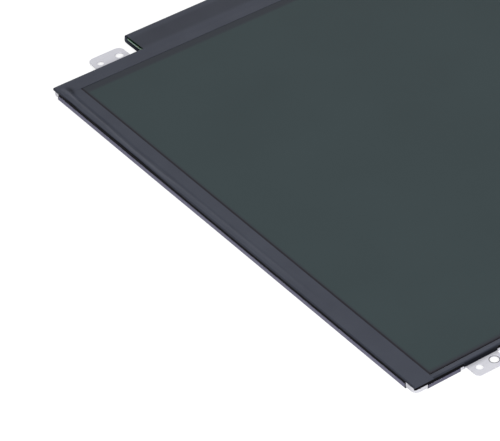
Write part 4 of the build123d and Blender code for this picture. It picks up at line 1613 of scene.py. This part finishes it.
@dataclass
class DisplayCell(Assembly):
    """The two glasses with their polarisers, the tape under them and the flex films at their edge."""

    frame: PanelFrame

    def finishes(self) -> dict[Finish, Sequence[str]]:
        """Finishes of the layers and of the driver chips."""
        frame = self.frame
        face = AntiGlareFace(name="anti_glare_face", picture_x=frame.picture_x, picture_y=frame.picture_y,
                             opening_x=frame.opening_x, opening_y=frame.opening_y)
        film = MouldedPlastic(name="rear_polariser_film", light=(0.05, 0.052, 0.058), dark=(0.04, 0.041, 0.046),
                              roughness=(0.2, 0.3), texture_size=1.2 * MM)
        foam = MouldedPlastic(name="bonding_foam", light=(0.03, 0.03, 0.032), dark=(0.015, 0.015, 0.016),
                              roughness=(0.7, 0.9), specular=0.3, texture_size=0.2 * MM, texture_height=0.02 * MM)
        silicon = MouldedPlastic(name="driver_silicon", light=(0.05, 0.05, 0.06), dark=(0.03, 0.03, 0.036),
                                 roughness=(0.18, 0.28), specular=0.6, texture_size=0.4 * MM,
                                 texture_height=0.001 * MM)
        return {
            face: ["front_polariser"],
            PanelGlass(name="panel_glass"): ["array_glass", "colour_filter_glass"],
            film: ["rear_polariser"],
            foam: ["glass_bonding_tape"],
            AmberFlex(name="source_flex", across=Mask.X, line_pitch=0.35 * MM): ["source_flex_films"],
            silicon: ["source_driver_chips"],
        }


@dataclass
class ControlBoard(Assembly):
    """Control board with its chips, coils, small parts and sockets."""

    capacitor_pitch: float = 2.6 * MM
    capacitor_half: float = 0.8 * MM
    capacitor_body_half: float = 0.45 * MM
    row_spacing: float = 70.0 * MM

    def finishes(self) -> dict[Finish, Sequence[str]]:
        """Finishes of the board and of each kind of part."""
        epoxy = MouldedPlastic(name="chip_epoxy", light=(0.028, 0.028, 0.03), dark=(0.018, 0.018, 0.02),
                               roughness=(0.45, 0.65), specular=0.4, texture_size=0.08 * MM,
                               texture_height=0.008 * MM)
        ferrite = MouldedPlastic(name="coil_ferrite", light=(0.07, 0.068, 0.066), dark=(0.04, 0.039, 0.038),
                                 roughness=(0.55, 0.8), specular=0.3, texture_size=0.2 * MM,
                                 texture_height=0.02 * MM)
        glaze = MouldedPlastic(name="resistor_glaze", light=(0.03, 0.03, 0.034), dark=(0.018, 0.018, 0.02),
                               roughness=(0.25, 0.4), texture_size=0.1 * MM, texture_height=0.004 * MM)
        first_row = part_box("ceramic_capacitors")[0].x + self.capacitor_half
        ceramic = CappedCeramic(name="capacitor_ceramic", pitch=self.capacitor_pitch,
                                row_starts=(first_row, first_row + self.row_spacing),
                                half_body=self.capacitor_body_half)
        ivory = MouldedPlastic(name="socket_ivory", light=(0.66, 0.62, 0.5), dark=(0.56, 0.52, 0.42),
                               roughness=(0.4, 0.55), specular=0.45, texture_size=0.15 * MM,
                               texture_height=0.01 * MM)
        steel = RolledMetal(name="socket_plated_steel", light=(0.74, 0.735, 0.72), dark=(0.6, 0.595, 0.58),
                            roughness=(0.2, 0.34), line_length=20.0)
        gold = RolledMetal(name="contact_gold", light=(0.86, 0.66, 0.27), dark=(0.74, 0.53, 0.18),
                           roughness=(0.16, 0.3), line_length=8.0, line_width=0.05 * MM)
        return {
            BoardLaminate(name="board_green"): ["control_board"],
            epoxy: ["timing_controller_chip", "panel_power_chip", "led_driver_chip"],
            ferrite: ["power_inductors"],
            glaze: ["chip_resistors"],
            ceramic: ["ceramic_capacitors"],
            ivory: ["led_tail_socket", "signal_socket_housing"],
            steel: ["signal_socket_shell"],
            gold: ["signal_socket_contacts"],
        }


# Floor, light and camera

@dataclass(frozen=True)
class SoftBox:
    """Square lamp that faces the panel: its place and size in metres, its power in watts."""

    name: str
    place: Triple
    size: float
    power: float


@dataclass
class Studio:
    """White floor, soft light from all round and the camera."""

    floor_size: float = 14.0
    floor_drop: float = 0.02 * MM
    floor_colour: float = 0.62
    floor_lift: float = 0.7
    sky: float = 0.25
    lamps: tuple[SoftBox, ...] = (
        SoftBox("key_box", (0.7, 0.95, 0.71), 0.9, 13.0),
        SoftBox("back_box", (-0.6, -0.96, 1.65), 1.0, 7.0),
    )
    camera_place: Triple = (0.573583, 0.651004, 0.581433)
    camera_aim: Triple = (0.16821, 0.002718, 0.0)
    camera_roll: float = -4.817
    camera_clip: Span = (0.05, 60.0)
    lens: float = 212.983

    def lay_floor(self) -> None:
        """Lay the pale floor that keeps the panel's shadow."""
        bpy.ops.object.select_all(action="DESELECT")
        bpy.ops.mesh.primitive_plane_add(size=self.floor_size, location=(0.0, 0.0, -self.floor_drop))
        floor = bpy.context.object
        floor.name = "studio_floor"
        paint = Paint("studio_white", 1.0, 0.0)
        paint.tint("Base Color", (self.floor_colour,) * 3)
        paint.tint("Emission Color", WHITE)
        paint.feed("Emission Strength", paint.seen_directly((0.0, self.floor_lift)))
        floor.data.materials.append(paint.material)

    def hang_sky(self) -> None:
        """Surround the scene with soft white light."""
        world = bpy.data.worlds.new("studio_sky")
        world.use_nodes = True
        tree = NodeTree(world.node_tree)
        background = tree.nodes["Background"]
        background.inputs["Color"].default_value = (*WHITE, 1.0)
        tree.join(tree.seen_directly((self.sky, 1.0)), background.inputs["Strength"])
        bpy.context.scene.world = world

    def hang_lamp(self, box: SoftBox) -> None:
        """Hang one soft box.

        Args:
            box: Lamp to hang.
        """
        lamp_data = bpy.data.lights.new(box.name, "AREA")
        lamp_data.energy = box.power
        lamp_data.size = box.size
        lamp = bpy.data.objects.new(box.name, lamp_data)
        bpy.context.scene.collection.objects.link(lamp)
        lamp.location = box.place
        lamp.rotation_mode = "QUATERNION"
        lamp.rotation_quaternion = (-Vector(box.place)).to_track_quat("-Z", "Y")
        lamp.visible_camera = False

    def light(self) -> None:
        """Hang the sky and the lamps."""
        self.hang_sky()
        for box in self.lamps:
            self.hang_lamp(box)

    def set_camera(self) -> None:
        """Stand the camera at the photograph's viewing angle."""
        lens_data = bpy.data.cameras.new("camera")
        lens_data.lens = self.lens
        lens_data.clip_start, lens_data.clip_end = self.camera_clip
        camera = bpy.data.objects.new("camera", lens_data)
        bpy.context.scene.collection.objects.link(camera)
        line = Vector(self.camera_aim) - Vector(self.camera_place)
        roll = Quaternion((0.0, 0.0, 1.0), math.radians(self.camera_roll))
        camera.location = self.camera_place
        camera.rotation_mode = "QUATERNION"
        camera.rotation_quaternion = line.to_track_quat("-Z", "Y") @ roll
        bpy.context.scene.camera = camera


def build_films(frame: PanelFrame) -> None:
    """Model the board film and every tape.

    Args:
        frame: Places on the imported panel.
    """
    shading = {"light": (0.0648, 0.0719, 0.0955), "dark": (0.0544, 0.0604, 0.0818),
               "painted_shade_colour": (0.004, 0.0045, 0.0075), "painted_highlight_colour": (0.098, 0.105, 0.135),
               "roughness": (0.38, 0.46), "specular": 0.09}
    wall = {"painted_shade_colour": (0.008, 0.008, 0.01), "painted_highlight_colour": (0.22, 0.215, 0.3), "roughness": (0.45, 0.55), "specular": 0.3}
    side_film = SatinFilm(name="side_shading_film", grain_stretch=(1.0, 40.0, 1.0), **shading)
    long_film = SatinFilm(name="long_shading_film", grain_stretch=(40.0, 1.0, 1.0), **shading)
    # One wall tape in two copies: lit for the side walls, and painted darker as shade for the top wall
    side_wall = SatinFilm(name="wall_film_lit_copy", light=(0.19, 0.186, 0.268), dark=(0.168, 0.164, 0.24),
                          grain_stretch=(1.0, 30.0, 1.0), **wall)
    top_wall = SatinFilm(name="wall_film_shaded_copy", light=(0.144, 0.14, 0.203), dark=(0.127, 0.124, 0.181),
                         grain_stretch=(30.0, 1.0, 1.0), **wall)
    edge = RolledEdge(frame)
    trench = SideTrench(frame)
    crumple = CornerCrumple(frame)
    light_and_shade = FilmLightAndShade(frame, trench, edge)
    long_material = long_film.make()
    BoardCover(frame, edge, trench, crumple, light_and_shade).build(long_material)
    border = BorderTapes(frame, edge, trench, crumple, light_and_shade)
    walls = WallTapes(frame)
    side_material = side_film.make()
    side_wall_material = side_wall.make()
    for side in Side:
        border.build_side(side, side_material)
        walls.build_side(side, side_wall_material)
    border.build_top(long_material)
    top_wall_material = top_wall.make()
    for node in ("top_wall_tape_right", "top_wall_tape_middle", "top_wall_tape_left"):
        walls.build_top(node, top_wall_material)


def main() -> None:
    """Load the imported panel, model its films, dress every piece and light the scene."""
    logging.basicConfig(level=logging.INFO, format="%(message)s")
    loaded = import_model()
    nodes = loaded["nodes"]
    bpy.context.scene.view_settings.view_transform = "Standard"
    frame = PanelFrame.measure()
    Housing(nodes).dress()
    LightStack(nodes).dress()
    DisplayCell(nodes, frame).dress()
    ControlBoard(nodes).dress()
    build_films(frame)
    studio = Studio()
    studio.lay_floor()
    studio.light()
    studio.set_camera()


if __name__ == "__main__":
    main()
